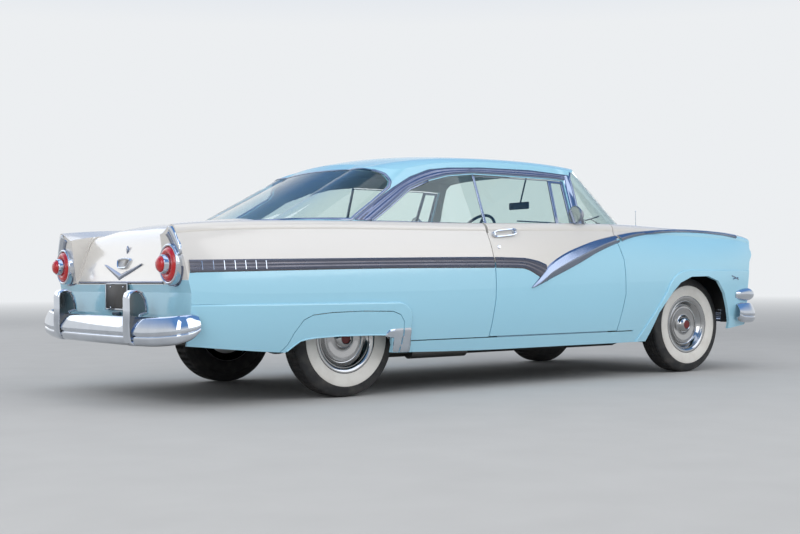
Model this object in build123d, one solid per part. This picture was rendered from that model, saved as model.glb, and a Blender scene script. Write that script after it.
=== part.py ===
from build123d import *
import os
from collections import namedtuple
from math import atan2, cos, sin, sqrt

# A two-door hardtop car of the 1950s, in millimetres.
# X points forward, Y to the car's left and Z up.
# The origin is on the ground under the middle of the car's length.
# Pieces in pairs are drawn for the right side, at negative Y, and mirrored.

# Overall sizes
WHEELBASE = 2934.0
FRONT_AXLE_X = 1660.0
REAR_AXLE_X = FRONT_AXLE_X - WHEELBASE
FRONT_TRACK = 1473.0
REAR_TRACK = 1422.0

# Sheet and wall thicknesses
SKIN = 14.0
DOOR_INNER_Y = 772.0
ROOF_WALL = 28.0
GLASS = 6.0
GLASS_INSET = 4.0
FLOOR_SHEET = 12.0

# How far the inner form runs on below the sills, so that the body is open underneath
INNER_DROP = 200.0

# Clearances
SEAT_GAP = 0.3
SHUT_GAP = 6.0
MOVE_GAP = 6.0

# Wheels and tyres
TYRE_R = 340.0
TYRE_HALF_W = 86.0
TREAD_HALF_W = 62.0
BEAD_HALF_W = 60.0
RIM_R = 190.0
COVER_OUT = 79.0
HUB_Z = TYRE_R
FLANGE_R = 200.0

# The wheel cover from its middle out, as radius and distance behind its outermost face:
# hub cup, dished ring, disc, groove and the stepped rim
COVER_PROFILE = [(0, 0), (38, 3), (50, 8), (62, 22), (68, 34), (76, 36), (124, 31), (131, 36), (136, 48),
                 (144, 49), (154, 36), (166, 19), (172, 18), (182, 10), (194, 6), (200, 6)]

SPINDLE_R = 20.0
SPINDLE_PLAY = 0.5
KINGPIN_Y = 650.0

# Door shut lines, seen from the side
DOOR_BOTTOM_Z = 322.0
DOOR_FLANGE_Y = 888.0
DOOR_STEP = 13.0

# Where the cabin floor steps up to the trunk floor, and where the deck reaches under the greenhouse
KICK_UP_X = -900.0
DECK_FRONT_X = -1200.0

# Hood and trunk lid, seen from above
HOOD_REAR_X = 1368.0
HOOD_HALF_W = 640.0
LID_FRONT_X = -1702.0
LID_HALF_W = 598.0
LID_BOTTOM_Z = 668.0
POD_INNER_Y = 628.0
PANEL_BOTTOM_Z = 440.0

# Bosses with holes for the number plate, on the rear panel
PLATE_X = -2343.0
PLATE_Z = 590.0
PLATE_BOSS_R = 9.0
PLATE_HOLES_W = 178.0
PLATE_HOLES_H = 121.0
PLATE_HOLE_R = 3.2

# Front face under the headlamps
NOSE_X = 2226.0

# Limits wider than the car, for cutting shapes
WIDE = 1100.0
HIGH = 1700.0
FAR = 2700.0

# Height at which the greenhouse meets the body
BELT_Z = 1000.0
ROOF_REF_Z = 1500.0

# Outer sections of the lower body, from the tail to the nose.
# Each row gives the underside, the widest point, the shoulder, the fender top, the valley beside the lid
# or hood, the crown of the lid or hood, and how far the swelling round the wheels stands out.
Station = namedtuple(
    "Station",
    "x floor_z rock_y wide_z wide_y side_y top_z valley_y valley_z crown_y crown_z centre_z swell",
)
BODY = [
    Station(-2400, 343, 840, 640, 892, 816, 978, 650, 930, 500, 930, 966, 1),
    Station(-2200, 325, 868, 620, 926, 848, 996, 650, 962, 510, 964, 1006, 6),
    Station(-1800, 287, 888, 610, 948, 868, 1012, 655, 988, 530, 996, 1046, 13),
    Station(-1274, 262, 888, 610, 952, 880, 1020, 660, 1003, 570, 1024, 1088, 14),
    Station(-300, 240, 886, 620, 948, 884, 1026, 680, 1015, 600, 1045, 1100, 14),
    Station(450, 240, 886, 640, 944, 882, 1040, 680, 1025, 600, 1050, 1105, 12),
    Station(1000, 240, 886, 650, 944, 876, 1039, 670, 1020, 600, 1050, 1100, 11),
    Station(1500, 255, 886, 660, 944, 866, 1022, 655, 1000, 590, 1030, 1072, 11),
    Station(2000, 300, 880, 690, 930, 858, 1008, 648, 980, 580, 1000, 1026, 8),
    Station(2360, 340, 858, 710, 886, 836, 962, 640, 925, 560, 935, 950, 2),
]
SHOULDER_W = 62.0
SHOULDER_DROP = 48.0
ROUND_SHARE = 0.586

# The greenhouse's plan outline at two heights, and the roof's crown.
Outline = namedtuple("Outline", "z rear_x rear_y rear_side_x side_y front_side_x front_y front_x nose_x")
GLASS_BASE = Outline(BELT_Z, -1742, 470, -1215, 811, 701, 560, 1240, 1386)
GLASS_TOP = Outline(ROOF_REF_Z, -747, 340, -560, 622, 505, 420, 740, 822)
CORNER_BULGE = 0.62
REAR_BOW = 0.17

# How much more than its thickness the wall takes along X, where it leans
REAR_RAKE = 1.6
FRONT_RAKE = 1.3

Arch = namedtuple("Arch", "x edge_z knee_y knee_z centre_z")
ROOF = [
    Arch(-1760, 930, 480, 980, 1010),
    Arch(-1250, 1190, 480, 1270, 1306),
    Arch(-900, 1290, 490, 1384, 1422),
    Arch(-450, 1356, 500, 1452, 1489),
    Arch(150, 1374, 505, 1470, 1508),
    Arch(620, 1358, 500, 1455, 1493),
    Arch(900, 1330, 490, 1424, 1462),
    Arch(1400, 1240, 480, 1330, 1366),
]
ROOF_EDGE_Y = 725.0
ROOF_SKIRT_Y = 980.0
ROOF_FOOT_Z = 850.0
KNEE_BULGE = 20.0


def line(*points):
    """Joined straight edges through 3-D points."""
    return [Line(a, b) for a, b in zip(points, points[1:])]


def arc(start, via, end):
    return [ThreePointArc(start, via, end)]


def solid_between(faces, ruled=False):
    return loft(faces, ruled=ruled)


def face_of(edges):
    return make_face(edges)


def box(x0, x1, y0, y1, z0, z1):
    """A block given by its low and high corners."""
    size = (x1 - x0, y1 - y0, z1 - z0)
    centre = ((x0 + x1) / 2, (y0 + y1) / 2, (z0 + z1) / 2)
    return Pos(*centre) * Box(*size)


def flip(shape):
    """The same piece on the car's left side."""
    return mirror(shape, about=Plane.XZ)


def pair(shape):
    return [shape, flip(shape)]


def side_prism(points, y0, y1):
    """A prism across the car from an outline seen from the side, as X and Z."""
    edges = line(*[(x, y0, z) for x, z in points], (points[0][0], y0, points[0][1]))
    return extrude(face_of(edges), amount=y1 - y0, dir=(0, 1, 0))


def edge_prism(edges, amount, direction):
    return extrude(face_of(edges), amount=amount, dir=direction)


def plan_prism(points, z0, z1):
    """An upright prism from an outline seen from above, as X and Y."""
    edges = line(*[(x, y, z0) for x, y in points], (points[0][0], points[0][1], z0))
    return extrude(face_of(edges), amount=z1 - z0, dir=(0, 0, 1))


def rod(start, end, radius):
    """A round bar between two points."""
    a, b = Vector(*start), Vector(*end)
    plane = Plane(origin=a, z_dir=b - a)
    return extrude(plane * Circle(radius), amount=(b - a).length)


def body_section(s, inset, floor_drop, swell):
    """One closed outline across the car, inset from the outer skin, with its lower arc carried on down."""
    z0 = s.floor_z - floor_drop
    out = s.swell * swell - inset
    wide_y, side_y = s.wide_y + out, s.side_y - inset
    depth, height = s.wide_y - s.rock_y, s.wide_z - s.floor_z
    low_r = (depth * depth + height * height) / (2 * depth)
    rock_y = wide_y - low_r + sqrt(low_r * low_r - (s.wide_z - z0) ** 2)
    shoulder_z = s.top_z - SHOULDER_DROP
    top_z = s.top_z - inset
    top_y = s.side_y - SHOULDER_W
    valley_z, crown_z, centre_z = s.valley_z - inset, s.crown_z - inset, s.centre_z - inset

    def side_mid(y, z):
        depth, height = wide_y - y, z - s.wide_z
        radius = (depth * depth + height * height) / (2 * depth)
        half = atan2(height, radius - depth) / 2
        return wide_y - radius + radius * cos(half), s.wide_z + radius * sin(half)

    low_mid, high_mid = side_mid(rock_y, z0), side_mid(side_y, shoulder_z)
    chord = ((side_y + top_y) / 2, (shoulder_z + top_z) / 2)
    round_mid = (chord[0] + (side_y - chord[0]) * ROUND_SHARE, chord[1] + (top_z - chord[1]) * ROUND_SHARE)

    def half(sign):
        def at(y, z):
            return (s.x, sign * y, z)

        edges = arc(at(rock_y, z0), at(*low_mid), at(wide_y, s.wide_z))
        edges += arc(at(wide_y, s.wide_z), at(*high_mid), at(side_y, shoulder_z))
        edges += arc(at(side_y, shoulder_z), at(*round_mid), at(top_y, top_z))
        edges += line(at(top_y, top_z), at(s.valley_y, valley_z), at(s.crown_y, crown_z))
        return edges

    crown = arc((s.x, -s.crown_y, crown_z), (s.x, 0, centre_z), (s.x, s.crown_y, crown_z))
    base = line((s.x, -rock_y, z0), (s.x, rock_y, z0))
    return face_of(half(-1) + crown + half(1) + base)


def body_loft(inset=0.0, floor_drop=0.0, swell=0.0):
    return solid_between([body_section(s, inset, floor_drop, swell) for s in BODY])


def outline_edges(o, inset):
    """The greenhouse's plan outline at one height, from the rear round to the front."""
    z = o.z
    rear_x, nose_x = o.rear_x + inset * REAR_RAKE, o.nose_x - inset * FRONT_RAKE
    side_y = o.side_y - inset
    rear_y, rear_side = o.rear_y - inset / 2, o.rear_side_x + inset / 2
    front_y, front_side = o.front_y - inset / 2, o.front_side_x - inset / 2
    rear_corner_x = rear_x + (o.rear_side_x - o.rear_x) * REAR_BOW
    front_corner_x = o.front_x - inset * FRONT_RAKE

    def corner_mid(x0, y0, x1, y1):
        """A point that bulges out between the two ends of a corner arc."""
        mx, my = (x0 + x1) / 2, (y0 + y1) / 2
        return mx + (x0 - mx) * CORNER_BULGE * 0.6, my + (y1 - my) * CORNER_BULGE

    def ring(sign):
        def at(x, y):
            return (x, sign * y, z)

        rear_mid = corner_mid(rear_corner_x, rear_y, rear_side, side_y)
        front_mid = corner_mid(front_corner_x, front_y, front_side, side_y)
        rear = arc(at(rear_corner_x, rear_y), at(*rear_mid), at(rear_side, side_y))
        side = line(at(rear_side, side_y), at(front_side, side_y))
        front = arc(at(front_side, side_y), at(*front_mid), at(front_corner_x, front_y))
        return rear + side + front

    back = arc((rear_corner_x, -rear_y, z), (rear_x, 0, z), (rear_corner_x, rear_y, z))
    nose = arc((front_corner_x, -front_y, z), (nose_x, 0, z), (front_corner_x, front_y, z))
    return back + ring(-1) + nose + ring(1)


def cabin_cone(inset=0.0):
    """The greenhouse between its two plan outlines, with straight sides."""
    low, high = face_of(outline_edges(GLASS_BASE, inset)), face_of(outline_edges(GLASS_TOP, inset))
    return solid_between([low, high], ruled=True)


def roof_section(a, inset):
    y, z0 = ROOF_EDGE_Y, ROOF_FOOT_Z
    edge_z, knee_z, centre_z = a.edge_z - inset, a.knee_z - inset, a.centre_z - inset
    mid_y = (y + a.knee_y) / 2 + KNEE_BULGE
    mid_z = (edge_z + knee_z) / 2 + KNEE_BULGE
    edges = arc((a.x, -y, edge_z), (a.x, -mid_y, mid_z), (a.x, -a.knee_y, knee_z))
    edges += arc((a.x, -a.knee_y, knee_z), (a.x, 0, centre_z), (a.x, a.knee_y, knee_z))
    edges += arc((a.x, a.knee_y, knee_z), (a.x, mid_y, mid_z), (a.x, y, edge_z))
    edges += line((a.x, y, edge_z), (a.x, ROOF_SKIRT_Y, z0), (a.x, -ROOF_SKIRT_Y, z0), (a.x, -y, edge_z))
    return face_of(edges)


def roof_loaf(inset=0.0):
    return solid_between([roof_section(a, inset) for a in ROOF])


# Openings of the greenhouse seen from the side, as X and Z
SILL_Z = BELT_Z + 24.0
RING_TOP_Z = BELT_Z + 32.0
RING_BOTTOM_Z = BELT_Z - 40.0
GLASS_SPLIT_X = -218.0
SIDE_WINDOW = [(-1089, SILL_Z), (-936, 1115), (-760, 1228), (-595, 1288), (-431, 1326), (-221, 1347),
               (436, 1342), (565, 1336), (560, 1200), (552, SILL_Z)]
REAR_WINDOW = [(-1900, RING_TOP_Z), (-1238, RING_TOP_Z), (-1224, 1048), (-1060, 1145), (-912, 1238),
               (-888, 1275), (-902, 1320), (-960, 1362), (-1040, 1390), (-1900, 1620)]
WINDSHIELD = [(1600, RING_TOP_Z), (640, RING_TOP_Z), (632, 1060), (628, 1360), (650, 1395), (760, 1425),
              (905, 1440), (1600, 1560)]
VENT_FRONT_X = 545.0
PANE_FOOT_Z = BELT_Z + 6.0

# How far in the swellings are cut, and where their visible edges lie
SWELL_INNER_Y = 780.0
LEDGE_INNER_Y = 880.0

# Wheel openings and the fender skirt, seen from the side
FRONT_ARCH = [(1085, 150), (1229, 439), (1300, 520), (1360, 582), (1434, 642), (1552, 684), (1733, 686),
              (1850, 650), (1925, 562), (1980, 452), (2018, 360), (2030, 150)]
SKIRT_SEAM = [(-1795, 200), (-1789, 288), (-1750, 328), (-1717, 394), (-1664, 463), (-1604, 490),
              (-1482, 501), (-1274, 505), (-1058, 499), (-1000, 478), (-970, 436), (-967, 382), (-986, 200)]
SKIRT_GAP = 4.0
SKIRT_LUG_X = (-1300.0, -1248.0)
SKIRT_LUG_Y = 905.0
SKIRT_LUG_Z = (470.0, 495.0, 540.0)

# Upper edge of the swelling round the rear wheel and ahead of the front wheel, seen from the side
SWELL_TAIL_Z = 560.0
SWELL_SILL_Z = 200.0
REAR_SWELL_ARC = [(-1010, 551), (-938, 518), (-912, 430)]
FRONT_SWELL_ARCS = [(1030, 235), (1165, 408), (1300, 580), (1398, 694), (1530, 729)]
REAR_SWELL_ROUND = 10.0
FRONT_SWELL_ROUND = 6.0

# The wheel opening under the fender skirt, seen from the side
SKIRT_OPENING = [(-1760, 150), (-1751, 286), (-1671, 343), (-1578, 356), (-1415, 362), (-1205, 360),
                 (-1096, 357), (-1050, 345), (-1031, 300), (-1031, 150)]

# The door's shut line, seen from the side
DOOR_LINE = [(-292, DOOR_BOTTOM_Z), (-262, 560), (-258, 760), (-272, 904), (-305, 1100), (840, 1100),
             (840, 976), (892, 800), (897, 569), (840, DOOR_BOTTOM_Z)]

# Side outlines of the tail and the nose
TAIL_SIDE = [(-2330, 0), (-2326, 620), (-2342, 700), (-2376, 985), (-2376, HIGH), (0, HIGH), (0, 0)]
NOSE_SIDE = [(0, 0), (0, HIGH), (2338, HIGH), (2338, 940), (2312, 840), (2264, 792), (2244, 728),
             (NOSE_X, 606), (NOSE_X, 0)]
HOOD_FACE = [(2500, 300), (2206, 300), (2206, 745), (2262, 800), (2290, 850), (2286, 905), (2250, 946),
             (2180, 1002), (2500, 1002)]

# Rear face of the trunk lid and, inside it, of the trunk: straight runs, then an arc to the top
LID_FACE = [(-2346, 300), (-2343, 660), (-2322, 707), (-2299, 790), (-2273, 860)]
LID_ARC = [(-2273, 860), (-2238, 945), (-2150, 1002)]
ROOM_FACE = [(-2316, 300), (-2313, 660), (-2292, 715), (-2270, 790), (-2246, 860)]
ROOM_ARC = [(-2246, 860), (-2214, 930), (-2140, 972)]
LID_SHEET = 21.0
TAIL_WALL_X = -2310.0
POD_FRONT_X = -2130.0


def drawn_in(points, gap):
    """A side outline drawn in by a gap, standing in the plane between left and right."""
    flat = face_of(line(*[(x, z, 0) for x, z in points], (points[0][0], points[0][1], 0)))
    return Rot(90, 0, 0) * offset(flat, amount=-gap, kind=Kind.INTERSECTION)


def side_cut(points, gap, y0, y1):
    return extrude(Pos(0, y0, 0) * drawn_in(points, gap), amount=y1 - y0, dir=(0, 1, 0))


def swell_zone(edges):
    """The side region under a swelling's upper edge."""
    return extrude(face_of(edges), amount=WIDE - SWELL_INNER_Y, dir=(0, 1, 0))


def rear_swell_zone():
    at = [(x, -WIDE, z) for x, z in REAR_SWELL_ARC]
    tail, low_tail = (-FAR, -WIDE, SWELL_TAIL_Z), (-FAR, -WIDE, SWELL_SILL_Z)
    front = (at[2][0], -WIDE, SWELL_SILL_Z)
    return swell_zone(line(tail, at[0]) + arc(*at) + line(at[2], front, low_tail, tail))


def front_swell_zone():
    at = [(x, -WIDE, z) for x, z in FRONT_SWELL_ARCS]
    nose, low_nose = (FAR, -WIDE, at[4][2]), (FAR, -WIDE, SWELL_SILL_Z)
    foot = (at[0][0], -WIDE, SWELL_SILL_Z)
    return swell_zone(arc(*at[:3]) + arc(*at[2:]) + line(at[4], nose, low_nose, foot, at[0]))


def swollen(form, zone, radius, longest):
    """The form with its side standing out in a zone, whose upper edge is rounded."""
    pad = body_loft(swell=1.0) & zone
    ledge = [e for e in pad.edges() if e.bounding_box().max.Y < -LEDGE_INNER_Y and 150 < e.length < longest]
    pad = fillet(ledge, radius)
    return form - zone - flip(zone) + pad + flip(pad)


def lid_prism(half, back_x, face, bend, top):
    """A prism across the car with the lid's rear face on one side."""
    start = (back_x, face[0][1])
    edges = line(*[(x, -half, z) for x, z in [start] + face]) + arc(*[(x, -half, z) for x, z in bend])
    edges += line(*[(x, -half, z) for x, z in [bend[-1], top, start]])
    return edge_prism(edges, 2 * half, (0, 1, 0))


def trunk_room():
    """The space inside the lid, behind its outer sheet."""
    room = lid_prism(POD_INNER_Y + 2, -1000, ROOM_FACE, ROOM_ARC, (-1000, 1200))
    return room & body_loft(LID_SHEET, INNER_DROP)


def trimmed_body():
    """The outer form with its shaped tail and nose."""
    form = swollen(body_loft(), rear_swell_zone(), REAR_SWELL_ROUND, 2000)
    form = swollen(form, front_swell_zone(), FRONT_SWELL_ROUND, 1000)
    form &= side_prism(TAIL_SIDE, -WIDE, WIDE) + side_prism(NOSE_SIDE, -WIDE, WIDE)
    tail_face = lid_prism(POD_INNER_Y, -2500, LID_FACE, LID_ARC, (-2500, 1002))
    nose_face = side_prism(HOOD_FACE, -HOOD_HALF_W - SHUT_GAP, HOOD_HALF_W + SHUT_GAP)
    return form - tail_face - nose_face


outer = trimmed_body()
inner_skin = body_loft(SKIN, INNER_DROP)
cone = cabin_cone()
cone_inner = cabin_cone(ROOF_WALL)
loaf = roof_loaf()
loaf_inner = roof_loaf(ROOF_WALL)
glass_skin = (cabin_cone(GLASS_INSET) - cabin_cone(GLASS_INSET + GLASS)) & roof_loaf(GLASS_INSET)


def belt_hole():
    """The opening in the body under the greenhouse."""
    low = face_of(outline_edges(GLASS_BASE._replace(z=200), -SEAT_GAP))
    high = face_of(outline_edges(GLASS_BASE, -SEAT_GAP))
    return solid_between([low, high], ruled=True) + cabin_cone(-SEAT_GAP)


hole = belt_hole()
seat_skin = body_loft(SKIN + SEAT_GAP, INNER_DROP)
skirt_zone = side_prism(SKIRT_SEAM, -WIDE, 0)
arch_zone = side_prism(FRONT_ARCH, -WIDE, -600)
door_gap = side_cut(DOOR_LINE, -SHUT_GAP / 2, -WIDE, 0)
nodes = {}


def quarter_panel():
    """The panel from the door's rear edge to the tail lamp, with the fender top."""
    region = box(-FAR, -200, -WIDE, 0, 0, HIGH)
    panel = (outer & region) - inner_skin
    lid_side = -LID_HALF_W - SHUT_GAP
    sill = box(KICK_UP_X, 0, -WIDE, 0, 0, DOOR_BOTTOM_Z)
    deck = box(-2200, DECK_FRONT_X, lid_side, 0, 700, HIGH)
    rear = box(-FAR, -2100, lid_side, 0, 0, HIGH)
    tail_wall = outer & box(-FAR, TAIL_WALL_X, -WIDE, lid_side, PANEL_BOTTOM_Z, HIGH)
    pod_x = TAIL_WALL_X - 10
    pod_wall = outer & box(pod_x, POD_FRONT_X, -POD_INNER_Y - SKIN, -POD_INNER_Y, LID_BOTTOM_Z, HIGH)
    rim = outer & box(pod_x, POD_FRONT_X, -POD_INNER_Y - 1, lid_side, LID_BOTTOM_Z, HIGH)
    wall = tail_wall + pod_wall + (rim - trunk_room())
    return panel + wall - door_gap - sill - deck - rear - hole - skirt_zone


def fender_skirt():
    """The panel over the rear wheel, with a lug that reaches up behind the quarter panel."""
    region = side_cut(SKIRT_SEAM, SKIRT_GAP, -WIDE, -800) - side_prism(SKIRT_OPENING, -WIDE, 0)
    low, seam, high = SKIRT_LUG_Z
    lug = box(*SKIRT_LUG_X, -WIDE, -SKIRT_LUG_Y, low, high) & seat_skin
    lug_root = outer & box(*SKIRT_LUG_X, -WIDE, -SKIRT_LUG_Y, low, seam)
    return (outer & region) - inner_skin + lug + lug_root


def front_fender():
    region = box(700, FAR, -WIDE, 0, 0, HIGH)
    panel = (outer & region) - inner_skin
    nose_wall = outer & box(2200, FAR, -WIDE, -HOOD_HALF_W - SHUT_GAP, 500, HIGH)
    sill = box(700, ROCKER_FRONT_X, -WIDE, 0, 0, DOOR_BOTTOM_Z)
    hood_side = box(700, FAR, -HOOD_HALF_W - SHUT_GAP, 0, 0, HIGH)
    return panel + nose_wall - door_gap - hood_side - hole - arch_zone - sill


def door():
    region = side_cut(DOOR_LINE, SHUT_GAP / 2, -WIDE, -DOOR_INNER_Y)
    inner = box(-FAR, FAR, -DOOR_FLANGE_Y, 0, 0, HIGH)
    slab = (outer & region) - (inner - Pos(DOOR_STEP, 0, 0) * region)
    side_y = GLASS_BASE.side_y
    slot_z, ring_z = PANE_FOOT_Z - SEAT_GAP, RING_BOTTOM_Z - MOVE_GAP
    slot = box(GLASS_SPLIT_X - 2, VENT_FRONT_X, -side_y - 2, -side_y + 34, slot_z, HIGH)
    pillar_room = box(VENT_FRONT_X - 2, 900, -side_y - 28, 0, ring_z, HIGH)
    window_room = box(-400, GLASS_SPLIT_X, -side_y - MOVE_GAP, 0, ring_z, HIGH)
    return slab - slot - pillar_room - window_room


def side_glass(outline, gap):
    return glass_skin & side_cut(outline, gap, -WIDE, 0)


def door_glass():
    """The main pane and the vent pane, with the vent frame between them left out."""
    low = PANE_FOOT_Z
    main = [(GLASS_SPLIT_X + 6, low), (GLASS_SPLIT_X + 2, 1337), (428.5, 1332), (395.5, low)]
    vent = [(413, low), (445.5, 1319.5), (543.5, 1315.5), (528, low)]
    return side_glass(main, 0) + side_glass(vent, 0)


def quarter_glass():
    split_x = GLASS_SPLIT_X - SHUT_GAP
    outline = SIDE_WINDOW[:5] + [(split_x, SIDE_WINDOW[5][1]), (split_x, SILL_Z)]
    return side_glass(outline, SEAT_GAP)


def roof():
    shell = (cone & loaf) - (cone_inner & loaf_inner)
    base = outline_edges(GLASS_BASE._replace(z=RING_BOTTOM_Z), 0)
    base_in = outline_edges(GLASS_BASE._replace(z=RING_BOTTOM_Z), ROOF_WALL)
    curb = extrude(face_of(base), amount=BELT_Z - RING_BOTTOM_Z, dir=(0, 0, 1))
    curb -= extrude(face_of(base_in), amount=BELT_Z - RING_BOTTOM_Z, dir=(0, 0, 1))
    shell = shell + curb
    shell -= side_prism(SIDE_WINDOW, -WIDE, WIDE)
    shell -= side_prism(REAR_WINDOW, -WIDE, WIDE)
    shell -= side_prism(WINDSHIELD, -WIDE, WIDE)
    door_span = box(-330, VENT_FRONT_X + 4, -WIDE, WIDE, 0, SILL_Z + 10)
    return (shell - door_span) & box(LID_FRONT_X + 20, HOOD_REAR_X - 60, -WIDE, WIDE, 0, HIGH)


def windshield():
    return (glass_skin & side_cut(WINDSHIELD, 0.5, -WIDE, WIDE)) - inner_skin


def rear_window():
    return (glass_skin & side_cut(REAR_WINDOW, 0.5, -WIDE, WIDE)) - inner_skin


def hood():
    region = box(HOOD_REAR_X, FAR, -HOOD_HALF_W, HOOD_HALF_W, 780, HIGH)
    panel = (outer & region) - inner_skin
    lip = outer & box(2180, FAR, -HOOD_HALF_W, HOOD_HALF_W, 850, HIGH)
    return panel + lip - hole


def trunk_lid():
    region = box(-FAR, LID_FRONT_X, -LID_HALF_W, LID_HALF_W, LID_BOTTOM_Z, HIGH)
    return (outer & region) - trunk_room()


# Places and sizes of the lamps
TAIL_LAMP = (-2330.0, 745.0, 773.0)
TAIL_LAMP_R = 110.0
HEADLAMP = (2232.0, 762.0, 846.0)
HEADLAMP_R = 106.0
LAMP_RING_W = 16.0
BULLET_DEPTH = 118.0
LAMP_DEPTH = 46.0
PARK_LAMP = (2290.0, 838.0, 560.0)
PARK_LAMP_R = 40.0


def facing(x, y, z, radius, length):
    """A round bar along the car from x forward."""
    return Pos(x + length / 2, y, z) * Rot(0, 90, 0) * Cylinder(radius, length)


def lamp_ring(place, radius, outward):
    """A bezel ring whose front edge is rounded."""
    x, y, z = place
    outer_r, inner_r = radius, radius - LAMP_RING_W
    depth, nose = LAMP_DEPTH, LAMP_RING_W / 2
    edges = line((inner_r, 0, 0), (outer_r, 0, 0), (outer_r, depth, 0))
    edges += arc((outer_r, depth, 0), ((outer_r + inner_r) / 2, depth + nose, 0), (inner_r, depth, 0))
    edges += line((inner_r, depth, 0), (inner_r, 0, 0))
    ring = revolve(face_of(edges), axis=Axis.Y, revolution_arc=360)
    return Pos(x, y, z) * Rot(0, 0, -90 * outward) * ring


def lamp_lens(place, radius, bulge):
    """A domed lens behind its ring."""
    x, y, z = place
    r = radius - LAMP_RING_W - SEAT_GAP
    edges = line((0, 4, 0), (r, 4, 0), (r, LAMP_DEPTH, 0))
    dome_r = (r * r + bulge * bulge) / (2 * bulge)
    half = atan2(r, dome_r - bulge) / 2
    edges += arc((r, LAMP_DEPTH, 0), (dome_r * sin(half), LAMP_DEPTH + bulge - dome_r * (1 - cos(half)), 0),
                 (0, LAMP_DEPTH + bulge, 0))
    edges += line((0, LAMP_DEPTH + bulge, 0), (0, 4, 0))
    lens = revolve(face_of(edges), axis=Axis.Y, revolution_arc=360)
    return Pos(x, y, z) * Rot(0, 0, -90) * lens


def tail_lens(place):
    """The red ring of a tail lamp with the bullet that stands out of its middle."""
    x, y, z = place
    r = TAIL_LAMP_R - LAMP_RING_W - SEAT_GAP
    edges = line((0, 4, 0), (r, 4, 0), (r, LAMP_DEPTH, 0))
    edges += arc((r, LAMP_DEPTH, 0), (74, 70, 0), (52, 68, 0))
    edges += line((52, 68, 0), (46, 94, 0), (36, 100, 0))
    edges += arc((36, 100, 0), (27, 113, 0), (12, BULLET_DEPTH, 0))
    edges += line((12, BULLET_DEPTH, 0), (0, BULLET_DEPTH, 0), (0, 4, 0))
    lens = revolve(face_of(edges), axis=Axis.Y, revolution_arc=360)
    return Pos(x, y, z) * Rot(0, 0, 90) * lens


def parking_lamp():
    """A bullet-shaped pod on the front of the fender."""
    x, y, z = right_of(PARK_LAMP)
    seat_x = NOSE_X + SEAT_GAP
    body = facing(seat_x, y, z, PARK_LAMP_R, x - seat_x)
    return body + Pos(x, y, z) * Sphere(PARK_LAMP_R)


def right_of(place):
    return (place[0], -place[1], place[2])


GRILLE_Z = (478.0, 742.0)

# Bumper brackets
BRACKET_Y = (370.0, 420.0)
BRACKET_Z = (360.0, 420.0)

# Power train
GEARBOX_REAR_X = 860.0
DIFF_R = 125.0
AXLE_TUBE_R = 40.0

# Ladder frame, seen from the side, and the floor above it
RAIL_Y = (360.0, 430.0)
ENGINE_FOOT_Z = 285.0
FLOOR_Z = 292.0
TRUNK_FLOOR_Z = 500.0
RAIL_TOP = [(2160, 430), (1900, 430), (1820, 425), (1330, FLOOR_Z), (-918, FLOOR_Z), (-1130, TRUNK_FLOOR_Z),
            (-1480, TRUNK_FLOOR_Z), (-1780, 430), (-2300, 430)]
RAIL_BOTTOM = [(-2300, 345), (-1760, 345), (-1450, 405), (-1160, 405), (-930, 190), (1290, 190), (1380, 215),
               (1820, 330), (2160, 345)]
# Cross members as middle X, low Z and high Z
Member = namedtuple("Member", "x low high")
MEMBERS = [
    Member(2110, 345, 420),
    Member(FRONT_AXLE_X, 200, ENGINE_FOOT_Z - SEAT_GAP),
    Member(700, 200, 250),
    Member(-700, 200, 250),
    Member(-1700, 380, 440),
    Member(-2280, 350, 425),
]
MEMBER_HALF_W = 40.0
HORN_TOP_Z = 340.0

# Cabin floor and firewall
TUNNEL_HALF_W = 150.0
TUNNEL_TOP_Z = 440.0
FIREWALL_X = 1240.0
FIREWALL_HALF_W = 640.0
FIREWALL_TOP_Z = 960.0
TOE_BOARD_Z = 560.0
ROCKER_INNER_Y = 800.0
ROCKER_FRONT_X = 1000.0

# Pillars that carry the doors, and the shelf under the windshield
PILLAR_X = (905.0, 945.0)
PILLAR_INNER_Y = 700.0
PILLAR_OUTER_Y = 860.0
PILLAR_PLATE = 20.0

# Trunk
TRUNK_HALF_W = 590.0
TRUNK_REAR_X = -2318.0
WELL_R = 385.0


def frame():
    """Two side rails that kick up over the axles, and the members between them."""
    top = [(x, z - SEAT_GAP) for x, z in RAIL_TOP]
    w = MEMBER_HALF_W
    rail = side_prism(top + RAIL_BOTTOM, -RAIL_Y[1], -RAIL_Y[0])
    rail += box(FRONT_AXLE_X - w, FRONT_AXLE_X + w, -RAIL_Y[1], -RAIL_Y[0], MEMBERS[1].low, HORN_TOP_Z)
    return pair(rail) + [box(m.x - w, m.x + w, -RAIL_Y[0], RAIL_Y[0], m.low, m.high) for m in MEMBERS]


def tunnel_prism(grow, x0, x1):
    w, top, foot = TUNNEL_HALF_W + grow, TUNNEL_TOP_Z + grow, FLOOR_Z - 50
    half = [(w * 0.4, top), (w * 0.75, top - 40), (w, foot)]
    points = [(-y, z) for y, z in reversed(half)] + half
    edges = line(*[(x0, y, z) for y, z in points], (x0, points[0][0], points[0][1]))
    return edge_prism(edges, x1 - x0, (1, 0, 0))


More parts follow.
